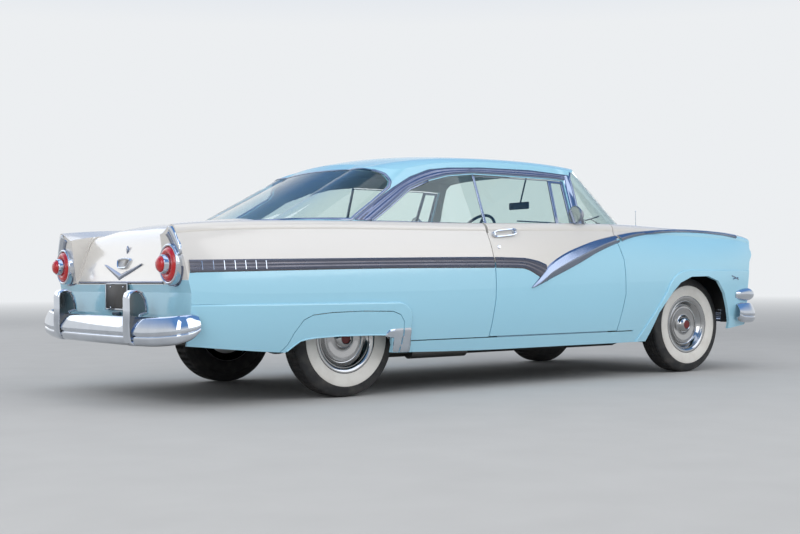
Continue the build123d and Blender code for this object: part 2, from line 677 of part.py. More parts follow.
def floor_pan():
    """The cabin floor with its tunnel, the toe board and the firewall."""
    half = ROCKER_INNER_Y - SEAT_GAP
    wall_x = FIREWALL_X - FLOOR_SHEET
    pan = box(KICK_UP_X, FIREWALL_X, -half, half, FLOOR_Z, FLOOR_Z + FLOOR_SHEET)
    above = box(KICK_UP_X, FIREWALL_X, -half, half, FLOOR_Z, 900)
    pan += tunnel_prism(FLOOR_SHEET, KICK_UP_X, FIREWALL_X) & above
    pan += box(wall_x, FIREWALL_X, -RAIL_Y[1], RAIL_Y[1], FLOOR_Z, FIREWALL_TOP_Z)
    pan += box(wall_x, FIREWALL_X, -FIREWALL_HALF_W, FIREWALL_HALF_W, TOE_BOARD_Z, FIREWALL_TOP_Z)
    return pan - tunnel_prism(0, KICK_UP_X - 1, FIREWALL_X + 1)


def cowl():
    """The panel between hood and windshield, and the pillars that carry the doors."""
    half = HOOD_HALF_W + SHUT_GAP - SEAT_GAP
    x0, x1 = PILLAR_X
    top_z = RING_BOTTOM_Z - SEAT_GAP
    plate_y = PILLAR_INNER_Y + PILLAR_PLATE
    top = (outer & box(900, HOOD_REAR_X - SHUT_GAP, -half, half, 700, HIGH)) - inner_skin - hole
    pillar = box(x0, x1, SEAT_GAP - ROCKER_INNER_Y, -PILLAR_INNER_Y, FLOOR_Z + FLOOR_SHEET + SEAT_GAP, top_z)
    pillar += box(x0, x1, -PILLAR_OUTER_Y, -PILLAR_INNER_Y, DOOR_BOTTOM_Z, top_z)
    pillar += box(x0, FIREWALL_X + 20, -plate_y, -PILLAR_INNER_Y, TOE_BOARD_Z, top_z)
    shelf = box(x0, FIREWALL_X - FLOOR_SHEET - SEAT_GAP, -plate_y, plate_y, RING_BOTTOM_Z - 20, top_z)
    return [top, pillar + flip(pillar) + shelf]


def trunk_floor():
    """The raised floor over the rear axle, with a round housing over each wheel."""
    half, top_z = TRUNK_HALF_W, TRUNK_FLOOR_Z + FLOOR_SHEET
    riser_x = KICK_UP_X - FLOOR_SHEET
    pan = box(TRUNK_REAR_X, KICK_UP_X, -half, half, TRUNK_FLOOR_Z, top_z)
    pan += box(riser_x, KICK_UP_X - SEAT_GAP, -half, half, FLOOR_Z, top_z)
    pan -= tunnel_prism(0, riser_x - 1, KICK_UP_X)
    axle = Pos(REAR_AXLE_X, 0, HUB_Z) * Rot(90, 0, 0)
    tubs = axle * Cylinder(WELL_R + FLOOR_SHEET, 2 * (ROCKER_INNER_Y + 95))
    tubs -= axle * Cylinder(WELL_R + FLOOR_SHEET + 1, 2 * (half - FLOOR_SHEET))
    room = axle * Cylinder(WELL_R, 2 * WIDE) - axle * Cylinder(WELL_R + 1, 2 * half)
    return pan + ((tubs - room) & box(-FAR, FAR, -WIDE, WIDE, HUB_Z + 60, HIGH))


def rocker():
    """The sill under the door, with the raised strip that the shut door rests on."""
    top_z = DOOR_BOTTOM_Z - SHUT_GAP
    span = box(KICK_UP_X + SEAT_GAP, ROCKER_FRONT_X - SEAT_GAP, -WIDE, -ROCKER_INNER_Y, 0, top_z)
    strip = box(-200, 780, -880, -ROCKER_INNER_Y, top_z - 1, DOOR_BOTTOM_Z + SHUT_GAP / 2 - SEAT_GAP)
    return (outer & span) + strip


def rear_deck():
    """The panel between the rear window and the trunk lid."""
    half = LID_HALF_W + SHUT_GAP - SEAT_GAP
    return (outer & box(LID_FRONT_X + SHUT_GAP, DECK_FRONT_X, -half, half, 700, HIGH)) - inner_skin - hole


def parcel_shelf():
    edges = outline_edges(GLASS_BASE._replace(z=RING_BOTTOM_Z + 4), ROOF_WALL + SEAT_GAP)
    plate = extrude(face_of(edges), amount=12, dir=(0, 0, 1))
    return plate & box(LID_FRONT_X + 20, -1130, -WIDE, WIDE, 0, HIGH)


def rear_panel():
    """The panel under the lid, with the strip that the shut lid rests on."""
    half = LID_HALF_W + SHUT_GAP - SEAT_GAP
    top_z = LID_BOTTOM_Z - SHUT_GAP
    strip = box(-2336, -2322, -590, 590, top_z - 1, LID_BOTTOM_Z - SEAT_GAP)
    panel = (outer & box(-FAR, TRUNK_REAR_X - SEAT_GAP, -half, half, PANEL_BOTTOM_Z, top_z)) + strip
    for y in (-PLATE_HOLES_W / 2, PLATE_HOLES_W / 2):
        for z in (PLATE_Z - PLATE_HOLES_H / 2, PLATE_Z + PLATE_HOLES_H / 2):
            panel += facing(PLATE_X, y, z, PLATE_BOSS_R, -PLATE_X - 2320)
            panel -= facing(PLATE_X - 1, y, z, PLATE_HOLE_R, 60)
    return panel


# Walls beside the engine: inner face, outer face, top, and the radiator between them
APRON_Y = (470.0, 478.0)
APRON_X = (FIREWALL_X + SEAT_GAP, 2120.0)
APRON_TOP_Z = 935.0
APRON_SHEET = 8.0
HOOD_STOP_X = (1900.0, 1940.0)


def front_apron():
    """The wall beside the engine, with the flange that carries the fender and a stop for the hood."""
    flange_z = APRON_TOP_Z - APRON_SHEET
    wall = box(*APRON_X, -APRON_Y[1], -APRON_Y[0], 520, APRON_TOP_Z)
    flange = box(*APRON_X, -HOOD_HALF_W, -APRON_Y[0], flange_z, APRON_TOP_Z)
    stop = box(*HOOD_STOP_X, -620, -580, APRON_TOP_Z - 1, 1100) & seat_skin
    return wall + flange + stop


def radiator():
    return box(2060, 2110, -330, 330, MEMBERS[0].high + SEAT_GAP, 900)


def front_valance():
    """The pan under the grille."""
    y = HOOD_HALF_W + SHUT_GAP - SEAT_GAP
    return box(2180, 2204, -y, y, BRACKET_Z[1] + SEAT_GAP, GRILLE_Z[0] - SEAT_GAP)


def engine():
    block = box(1330, 1930, -170, 170, ENGINE_FOOT_Z, 640)
    heads = box(1380, 1880, -290, 290, 560, 760)
    cleaner = Pos(1640, 0, 820) * Cylinder(150, 120)
    gearbox = box(GEARBOX_REAR_X, 1331, -85, 85, 240, 400)
    return block + heads + cleaner + gearbox


# Leaf springs and exhaust
LEAF_Y = (530.0, 585.0)
LEAF_THICK = 24.0
SHACKLE_X = (-1880.0, -1855.0)
EYE_X = (-660.0, -620.0)
PIPE_Y = 482.0
PIPE_R = 24.0
PIPE_LOW_Z = 236.0
PIPE_HIGH_Z = 445.0
PIPE_TAIL_Z = 350.0
MUFFLER_R = 48.0
HANGER_HALF = 12.0


def rear_axle():
    """The axle with its differential, the drive shaft and the two leaf springs."""
    centre = Pos(REAR_AXLE_X, 0, HUB_Z)
    axle = centre * Rot(90, 0, 0) * Cylinder(AXLE_TUBE_R, 2 * 640)
    axle += centre * Rot(90, 0, 0) * Cylinder(SPINDLE_R, REAR_TRACK + 60)
    axle += centre * Sphere(DIFF_R)
    shaft = rod((REAR_AXLE_X + DIFF_R + SEAT_GAP, 0, HUB_Z), (GEARBOX_REAR_X - SEAT_GAP, 0, HUB_Z), 38)
    leaf_z = HUB_Z - AXLE_TUBE_R - SEAT_GAP
    shackle_z, eye_z = TRUNK_FLOOR_Z - SEAT_GAP, FLOOR_Z - SEAT_GAP
    top = [(SHACKLE_X[0], shackle_z), (SHACKLE_X[1], shackle_z), (SHACKLE_X[1], 415), (REAR_AXLE_X, leaf_z),
           (EYE_X[0], 275), (EYE_X[0], eye_z), (EYE_X[1], eye_z)]
    low = [(EYE_X[1], 255), (REAR_AXLE_X, leaf_z - LEAF_THICK), (SHACKLE_X[0], 400)]
    spring = side_prism(top + low, -LEAF_Y[1], -LEAF_Y[0])
    return [axle, shaft, spring, flip(spring)]


def exhaust():
    """One pipe that rises over the rear axle, with its muffler and two hangers."""
    stations = [(1100, PIPE_LOW_Z), (-960, PIPE_LOW_Z), (-1150, PIPE_HIGH_Z), (-1450, PIPE_HIGH_Z),
                (-1800, PIPE_TAIL_Z), (-2330, PIPE_TAIL_Z)]
    route = FilletPolyline(*[(x, -PIPE_Y, z) for x, z in stations], radius=60)
    start = Plane(origin=route @ 0, z_dir=route % 0)
    pipe = sweep(start * Circle(PIPE_R), path=route)
    pipe += rod((-150, -PIPE_Y, 226), (-600, -PIPE_Y, 226), MUFFLER_R)
    for x, low, high in ((-400, 250, FLOOR_Z), (-2250, PIPE_TAIL_Z, TRUNK_FLOOR_Z)):
        pipe += box(x - HANGER_HALF, x + HANGER_HALF, -PIPE_Y - 6, -PIPE_Y + 6, low, high - SEAT_GAP)
    return pipe


def fuel_tank():
    return box(-2230, -1800, -340, 340, 330, TRUNK_FLOOR_Z - SEAT_GAP)


def arm(y_in, y_out, z, spread, thick):
    points = [(FRONT_AXLE_X - spread, y_in), (FRONT_AXLE_X + spread, y_in), (FRONT_AXLE_X + 26, y_out),
              (FRONT_AXLE_X - 26, y_out)]
    return plan_prism(points, z - thick / 2, z + thick / 2)


# Space between the upper and lower arms, filled by the springs and the kingpins
LOWER_ARM_TOP_Z = 226.0
UPPER_ARM_LOW_Z = 443.0
ARM_ROOM = UPPER_ARM_LOW_Z - LOWER_ARM_TOP_Z - 2 * SEAT_GAP
TOWER_TOP_Z = 500.0


def rail_top(x):
    """Height of the rail's sloping top beside the front axle."""
    (x1, z1), (x0, z0) = RAIL_TOP[2], RAIL_TOP[3]
    return z0 + (z1 - z0) * (x - x0) / (x1 - x0)


def front_suspension():
    lower = arm(-RAIL_Y[1] - SEAT_GAP, -KINGPIN_Y, LOWER_ARM_TOP_Z - 10, 120, 20)
    upper = arm(-RAIL_Y[1] - SEAT_GAP, -KINGPIN_Y, UPPER_ARM_LOW_Z + 9, 70, 18)
    x0, x1 = FRONT_AXLE_X - 75, FRONT_AXLE_X + 75
    side = [(x0, rail_top(x0)), (x1, rail_top(x1)), (x1, TOWER_TOP_Z), (x0, TOWER_TOP_Z)]
    tower = side_prism(side, -RAIL_Y[1], -RAIL_Y[0])
    spring = Pos(FRONT_AXLE_X, -505, (LOWER_ARM_TOP_Z + UPPER_ARM_LOW_Z) / 2) * Cylinder(52, ARM_ROOM)
    return lower, upper, tower, spring


def knuckle():
    """The upright that turns about the kingpin, with the wheel's spindle."""
    post = Pos(FRONT_AXLE_X, -KINGPIN_Y, (LOWER_ARM_TOP_Z + UPPER_ARM_LOW_Z) / 2) * Cylinder(20, ARM_ROOM)
    body = box(FRONT_AXLE_X - 32, FRONT_AXLE_X + 32, -KINGPIN_Y - 22, -KINGPIN_Y + 20, 280, 400)
    spindle = rod((FRONT_AXLE_X, -KINGPIN_Y, HUB_Z), (FRONT_AXLE_X, -FRONT_TRACK / 2 - 30, HUB_Z), SPINDLE_R)
    steering_arm = box(FRONT_AXLE_X - 170, FRONT_AXLE_X - 20, -KINGPIN_Y + 2, -KINGPIN_Y + 22, 284, 304)
    return post + body + spindle + steering_arm


def tyre(x, y):
    """A tyre whose sidewalls bulge beyond the tread and the bead."""
    w, tread, bead = TYRE_HALF_W, TREAD_HALF_W, BEAD_HALF_W
    shoulder_r = TYRE_R - 14
    edges = []
    for sign in (-1, 1):
        edges += arc((RIM_R, sign * bead, 0), (262, sign * w, 0), (shoulder_r, sign * (tread + 12), 0))
        edges += arc((shoulder_r, sign * (tread + 12), 0), (TYRE_R - 5, sign * (tread + 5), 0),
                     (TYRE_R - 1, sign * (tread - 6), 0))
    edges += arc((TYRE_R - 1, -(tread - 6), 0), (TYRE_R, 0, 0), (TYRE_R - 1, tread - 6, 0))
    edges += line((RIM_R, -bead, 0), (RIM_R, bead, 0))
    return Pos(x, y, HUB_Z) * revolve(face_of(edges), axis=Axis.Y, revolution_arc=360)


def wheel(x, y, side):
    """A steel wheel with its full cover facing outward, and the brake drum behind."""
    rim = RIM_R - SEAT_GAP
    cover = [(r, COVER_OUT - back) for r, back in COVER_PROFILE]
    well = [(FLANGE_R, 69.5), (rim, 60.5), (rim, -60.5), (FLANGE_R, -69.5), (FLANGE_R, -73), (182, -73)]
    drum = [(180, 20), (150, 30), (150, -52), (60, -58), (0, -58)]
    edges = line(*[(r, w, 0) for r, w in cover + well + drum], (0, COVER_OUT, 0))
    solid = revolve(face_of(edges), axis=Axis.Y, revolution_arc=360)
    solid -= Pos(0, -29, 0) * Rot(90, 0, 0) * Cylinder(SPINDLE_R + SPINDLE_PLAY, 120)
    if side < 0:
        solid = mirror(solid, about=Plane.XZ)
    return Pos(x, y, HUB_Z) * solid


# The bars seen from above, with the radii of their bends
REAR_BAR_PLAN = [(-2290, 920), (-2402, 926), (-2462, 600), (-2480, 0), (-2462, -600), (-2402, -926),
                 (-2290, -920)]
FRONT_BAR_PLAN = [(2080, -918), (2380, -922), (2456, -600), (2480, 0), (2456, 600), (2380, 922), (2080, 918)]
BAR_RADII = [70, 400, 3000, 400, 70]

# Side outline of a bumper guard and of its recess, as distance from the car's middle and height
GUARD_SIDE = [(2436, 328), (2490, 334), (2513, 372), (2521, 430), (2518, 560), (2506, 618), (2466, 638),
              (2418, 608), (2396, 520), (2436, 492)]
GUARD_RECESS = [(2458, 498), (2498, 498), (2497, 570), (2468, 608), (2440, 588), (2424, 522)]
GUARD_RECESS_DEPTH = 20.0
GUARD_Y = 545.0
GUARD_W = 76.0
BUMPER_DEPTH = 40.0


def bumper_bar(points, radii, low, high, depth):
    """A bar with a rounded face along a route seen from above."""
    mid = (low + high) / 2
    half = (high - low) / 2
    route = FilletPolyline(*[(x, y, mid) for x, y in points], radius=radii)
    across = Vector(route % 0).cross(Vector(0, 0, 1))
    origin = Vector(*(route @ 0))

    def at(out, up):
        return origin + across * out + Vector(0, 0, up)

    edges = [Line(at(0, -half), at(0, half)), Line(at(0, half), at(depth * 0.45, half)),
             ThreePointArc(at(depth * 0.45, half), at(depth, 0), at(depth * 0.45, -half)),
             Line(at(depth * 0.45, -half), at(0, -half))]
    return sweep(face_of(edges), path=route)


def swept_up(low, end_low, high, end_high):
    """The room that a bar keeps to, seen from behind, with ends that rise."""
    x, end_y, turn_y = -FAR, 980.0, 620.0

    def bend(sign, z, end_z):
        mid = (z * 0.72 + end_z * 0.28)
        return (x, sign * turn_y, z), (x, sign * (end_y + turn_y) / 2, mid), (x, sign * end_y, end_z)

    base_left, base_right = bend(1, low, end_low), bend(-1, low, end_low)
    top_left, top_right = bend(1, high, end_high), bend(-1, high, end_high)
    edges = line(base_right[0], base_left[0]) + arc(*base_left) + line(base_left[2], top_left[2])
    edges += arc(top_left[2], top_left[1], top_left[0]) + line(top_left[0], top_right[0])
    edges += arc(*top_right) + line(top_right[2], base_right[2])
    edges += arc(base_right[2], base_right[1], base_right[0])
    return edge_prism(edges, 2 * FAR, (1, 0, 0))


def bumper_guard(end, y, width):
    """An upright guard whose top hooks back over the bar, with a recess in each side."""
    at = [(end * x, y, z) for x, z in GUARD_SIDE]
    edges = line(at[0], at[1]) + arc(at[1], at[2], at[3]) + line(at[3], at[4]) + arc(at[4], at[5], at[6])
    edges += arc(at[6], at[7], at[8]) + line(at[8], at[9], at[0])
    guard = edge_prism(edges, width, (0, 1, 0))
    recess = [(end * x, z) for x, z in GUARD_RECESS]
    guard -= side_prism(recess, y - 1, y + GUARD_RECESS_DEPTH)
    return guard - side_prism(recess, y + width - GUARD_RECESS_DEPTH, y + width + 1)


def bracket(near_x, far_x):
    return pair(box(near_x, far_x, -BRACKET_Y[1], -BRACKET_Y[0], *BRACKET_Z))


def rear_bumper():
    bar = bumper_bar(REAR_BAR_PLAN, BAR_RADII, 318, 522, BUMPER_DEPTH) & swept_up(334, 378, 488, 514)
    guard = bumper_guard(-1, -GUARD_Y, GUARD_W)
    return bar + guard + flip(guard) + bracket(-2480, -2300 - SEAT_GAP)


def front_bumper():
    bar = bumper_bar(FRONT_BAR_PLAN, BAR_RADII, 318, 506, BUMPER_DEPTH) & swept_up(334, 352, 478, 490)
    guard = bumper_guard(1, -GUARD_Y, GUARD_W)
    return bar + guard + flip(guard) + bracket(2160 + SEAT_GAP, 2465)


GRILLE_HALF_W = 620.0
GRILLE_BACK_X = 2130.0
GRILLE_FACE_X = 2200.0
GRILLE_RIM = 22.0
GRILLE_CORNER_R = 70.0
GRILLE_ROWS = 6
GRILLE_COLUMNS = 17
GRILLE_BAR_HALF = 3.0


def rounded_block(x0, x1, half, low, high, radius):
    """A block across the car whose four corners, seen from the front, are round."""
    return fillet(box(x0, x1, -half, half, low, high).edges().filter_by(Axis.X), radius)


def grille():
    """A wide frame with round corners, filled by a lattice of flat bars."""
    low, high = GRILLE_Z
    half, rim, bar = GRILLE_HALF_W, GRILLE_RIM, GRILLE_BAR_HALF
    shell = rounded_block(GRILLE_BACK_X, GRILLE_FACE_X, half, low, high, GRILLE_CORNER_R)
    mouth_r = GRILLE_CORNER_R - rim
    shell -= rounded_block(GRILLE_BACK_X - 1, GRILLE_FACE_X + 1, half - rim, low + rim, high - rim, mouth_r)
    y_in, z_in = half - rim + 1, rim - 1
    for i in range(1, GRILLE_ROWS):
        z = low + (high - low) * i / GRILLE_ROWS
        shell += box(GRILLE_BACK_X + 16, GRILLE_FACE_X - 12, -y_in, y_in, z - bar, z + bar)
    for i in range(1, GRILLE_COLUMNS):
        y = -half + 2 * half * i / GRILLE_COLUMNS
        shell += box(GRILLE_BACK_X + 20, GRILLE_FACE_X - 16, y - bar, y + bar, low + z_in, high - z_in)
    return shell


# Side outlines of the seats
BENCH_SIDE = [(-105, 560), (-130, 700), (-96, 1040), (-60, 1066), (-22, 1050), (60, 690), (150, 650),
              (520, 668), (572, 640), (575, 520), (540, 470), (-20, 470), (-80, 500)]
BENCH_HALF_W = 680.0
BENCH_BASE_X = (0.0, 500.0)
REAR_SEAT_BACK = [(-1190, 936), (-1168, 700)]
REAR_SEAT_TOP = [(-545, 640), (-580, 690), (-1010, 665), (-1095, 905), (-1120, 938)]
REAR_SEAT_HALF_W = 575.0


def front_seat():
    bench = side_prism(BENCH_SIDE, -BENCH_HALF_W, BENCH_HALF_W)
    foot_z = FLOOR_Z + FLOOR_SHEET + SEAT_GAP
    base = box(*BENCH_BASE_X, -600, 600, foot_z, 471) - tunnel_prism(FLOOR_SHEET + 1, -200, 600)
    return bench + base


def rear_seat():
    floor_z = TRUNK_FLOOR_Z + FLOOR_SHEET + SEAT_GAP
    side = REAR_SEAT_BACK + [(x, floor_z) for x in (-1100, -905, -560)] + REAR_SEAT_TOP
    return side_prism(side, -REAR_SEAT_HALF_W, REAR_SEAT_HALF_W)


def dashboard():
    top_z = RING_BOTTOM_Z - 20 - SEAT_GAP
    side = [(1010, top_z), (800, top_z), (762, 915), (770, 800), (830, 760), (1010, 760)]
    return side_prism(side, -690, 690)


STEERING_CENTRE = (640.0, 350.0, 975.0)
COLUMN_DIRECTION = (-0.86, 0.0, 0.51)
STEERING_R = 208.0
COLUMN_LENGTH = 720.0


def steering_wheel():
    """The rim, spokes and hub on the end of the column."""
    plane = Plane(origin=Vector(*STEERING_CENTRE), z_dir=Vector(*COLUMN_DIRECTION))
    rim = plane * Torus(STEERING_R, 11)
    hub = extrude(plane * Circle(34), amount=30)
    span = 2 * STEERING_R - 16
    spokes = plane * (Box(span, 22, 12) + Box(22, span, 12))
    column = extrude(plane * Circle(24), amount=-COLUMN_LENGTH)
    return rim + hub + spokes + column


MIRROR_CENTRE = (520.0, -872.0, 1098.0)
MIRROR_R = 60.0


def mirror_and_handle():
    """The round door mirror on its stalk, and the pull handle with its lock."""
    x, y, z = MIRROR_CENTRE
    stalk = rod((596, -852, 1028), (x + 25, y, z - 6), 9)
    head = Pos(x, y, z) * Rot(0, 90, 0) * Cone(MIRROR_R, 34, 46)
    head += Pos(x - 26, y, z) * Rot(0, 90, 0) * Cylinder(MIRROR_R, 8)
    grip = box(-250, -40, -926, -908, 958, 978)
    for x0, x1 in ((-245, -205), (-80, -45)):
        grip += box(x0, x1, -912, -878, 955, 981)
    return [stalk + head, grip]


def vent_frame():
    """The bright frame round the vent pane, which stands on the door."""
    low = PANE_FOOT_Z
    skin = (cabin_cone(0) - cabin_cone(14)) & loaf
    outline = [(396, low), (429, 1334), (557, 1330), (542, low)]
    pane = [(411, low - 10), (445, 1320), (544, 1316), (528, low - 10)]
    return skin & (side_prism(outline, -WIDE, 0) - side_prism(pane, -WIDE, 0))


def both(node, shape):
    nodes[node + "_right"] = [shape] if not isinstance(shape, (list, tuple)) else list(shape)
    nodes[node + "_left"] = [flip(s) for s in nodes[node + "_right"]]


def lamp_hole(place, radius, shift, length):
    """The round hole in a panel for a lamp."""
    x, y, z = right_of(place)
    return facing(x + shift, y, z, radius + SEAT_GAP, length)


quarter = quarter_panel() - lamp_hole(TAIL_LAMP, TAIL_LAMP_R, -100, 100)
fender = front_fender() - lamp_hole(HEADLAMP, HEADLAMP_R, 0, 150)
fittings = mirror_and_handle()
door_slab = door()
nodes["quarter_panels"] = pair(quarter)
nodes["fender_skirts"] = pair(fender_skirt())
nodes["front_fenders"] = pair(fender)
both("door", door_slab)
both("door_glass", door_glass())
both("door_fittings", [s - door_slab for s in fittings] + [vent_frame()])
nodes["quarter_windows"] = pair(quarter_glass())
nodes["roof"] = [roof()]
nodes["windshield"] = [windshield()]
nodes["rear_window"] = [rear_window()]
nodes["hood"] = [hood()]
nodes["trunk_lid"] = [trunk_lid()]
nodes["frame"] = frame()
nodes["floor_pan"] = [floor_pan()]
nodes["cowl"] = cowl()
nodes["trunk_floor"] = [trunk_floor()]
nodes["rockers"] = pair(rocker())
nodes["rear_deck"] = [rear_deck(), parcel_shelf(), rear_panel()]
nodes["front_aprons"] = pair(front_apron()) + [radiator(), front_valance()]
nodes["grille"] = [grille()]
nodes["engine"] = [engine()]
nodes["rear_axle"] = rear_axle()
nodes["exhaust"] = [exhaust()]
nodes["fuel_tank"] = [fuel_tank()]
nodes["front_suspension"] = [s for piece in front_suspension() for s in pair(piece)]
both("knuckle", knuckle())
nodes["rear_bumper"] = [rear_bumper()]
nodes["front_bumper"] = [front_bumper()]
nodes["front_seat"] = [front_seat()]
nodes["rear_seat"] = [rear_seat()]
nodes["dashboard"] = [dashboard()]
nodes["steering_wheel"] = [steering_wheel() - dashboard() - floor_pan()]
nodes["tail_lamps"] = pair(tail_lens(right_of(TAIL_LAMP)))
tail_rings = pair(lamp_ring(right_of(TAIL_LAMP), TAIL_LAMP_R, -1))
head_rings = pair(lamp_ring(right_of(HEADLAMP), HEADLAMP_R, 1))
nodes["lamp_rims"] = tail_rings + head_rings
nodes["parking_lamps"] = pair(parking_lamp())
nodes["headlamp_lenses"] = pair(lamp_lens(right_of(HEADLAMP), HEADLAMP_R, 24))
for name, x, half_track in (("front", FRONT_AXLE_X, FRONT_TRACK / 2), ("rear", REAR_AXLE_X, REAR_TRACK / 2)):
    for side, word in ((-1, "right"), (1, "left")):
        nodes[f"tyre_{name}_{word}"] = [tyre(x, side * half_track)]
        nodes[f"wheel_{name}_{word}"] = [wheel(x, side * half_track, side)]

os.makedirs("parts", exist_ok=True)
for name, shapes in nodes.items():
    solids = [s for shape in shapes for s in shape.solids()]
    export_step(Compound(children=solids), f"parts/{name}.step")
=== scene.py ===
"""Looks of a two-door hardtop car of the 1950s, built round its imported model.

Lengths are in metres. X points forward, Y to the car's left and Z up.
"""

import logging
import math
from collections.abc import Callable, Sequence
from dataclasses import dataclass, field
from enum import Enum

import bmesh
import bpy
from mathutils import Matrix, Vector
from mathutils.bvhtree import BVHTree


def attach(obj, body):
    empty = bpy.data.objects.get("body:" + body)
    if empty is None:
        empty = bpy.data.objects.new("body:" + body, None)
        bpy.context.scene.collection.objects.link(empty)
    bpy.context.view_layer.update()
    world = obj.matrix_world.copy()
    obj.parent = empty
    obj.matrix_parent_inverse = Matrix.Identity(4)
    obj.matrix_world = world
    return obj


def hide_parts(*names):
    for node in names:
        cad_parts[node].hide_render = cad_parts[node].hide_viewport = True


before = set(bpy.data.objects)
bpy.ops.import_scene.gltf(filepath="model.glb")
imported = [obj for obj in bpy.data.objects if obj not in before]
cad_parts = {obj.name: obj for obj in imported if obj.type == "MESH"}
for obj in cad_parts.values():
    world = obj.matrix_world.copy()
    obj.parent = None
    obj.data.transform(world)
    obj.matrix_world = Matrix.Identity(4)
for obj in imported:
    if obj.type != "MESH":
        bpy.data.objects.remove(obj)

log = logging.getLogger("hardtop")
Triple = tuple[float, float, float]
Colour = Triple
Pair = tuple[float, float]
Table = Sequence[Pair]
Bands = Sequence[Triple]
Path = Sequence[tuple[Vector, Vector]]
Place = Callable[[float, float], Vector]
Socket = bpy.types.NodeSocket
Material = bpy.types.Material
Value = Socket | float | Colour
ACROSS, BACK, UP = Vector((0, 1, 0)), Vector((-1, 0, 0)), Vector((0, 0, 1))
STRIP_SECTION: Table = ((-0.0055, -0.002), (-0.005, 0.003), (0.0, 0.005), (0.005, 0.003), (0.0055, -0.002))


class Side(Enum):
    """One side of the car, with the sign of its Y."""

    RIGHT = -1
    LEFT = 1

    @property
    def word(self) -> str:
        """The side's name as the nodes spell it."""
        return self.name.lower()

    def put(self, x: float, y: float, z: float) -> Vector:
        """A point given for a positive Y, on this side."""
        return Vector((x, self.value * y, z))


class Spot(Enum):
    """An axle of the car: its X and half track."""

    FRONT = (1.66, 0.7365)
    REAR = (-1.274, 0.711)


def blend_table(table: Table, x: float) -> float:
    """Reads a table of X and value pairs, sorted by X, with straight runs between them.

    Args:
        table: X and value pairs, sorted by X.
        x: Where to read it.

    Returns:
        The value.
    """
    if x <= table[0][0]:
        return table[0][1]
    for (x0, v0), (x1, v1) in zip(table, table[1:]):
        if x <= x1:
            return v0 + (v1 - v0) * (x - x0) / (x1 - x0)
    return table[-1][1]


def curve_table(table: Table, x: float) -> float:
    """Reads a table of X and value pairs, sorted by X, on a smooth curve through them.

    Args:
        table: X and value pairs, sorted by X.
        x: Where to read it.

    Returns:
        The value.
    """
    if not table[0][0] < x < table[-1][0]:
        return blend_table(table, x)
    index = max(i for i, (at, _) in enumerate(table[:-1]) if at <= x)
    (x0, v0), (x1, v1) = table[index], table[index + 1]
    before, after = table[max(0, index - 1)], table[min(len(table) - 1, index + 2)]
    first = (v1 - before[1]) / (x1 - before[0])
    last = (after[1] - v0) / (after[0] - x0)
    gap = x1 - x0
    s = (x - x0) / gap
    return (v0 * (2 * s ** 3 - 3 * s ** 2 + 1) + v1 * (3 * s ** 2 - 2 * s ** 3)
            + gap * (first * (s ** 3 - 2 * s ** 2 + s) + last * (s ** 3 - s ** 2)))


def split(table: Bands) -> tuple[list, list]:
    """A table of X, low and high values as one table of lows and one of highs."""
    return [(x, low) for x, low, _ in table], [(x, high) for x, _, high in table]


def rim(t: float, u: float, pace: float) -> float:
    """How far a sheet has risen from its edges, from 0 to 1, at two shares across it."""
    return min(1.0, min(u, 1 - u, t * 2, (1 - t) * 2) * pace)


# Finishes


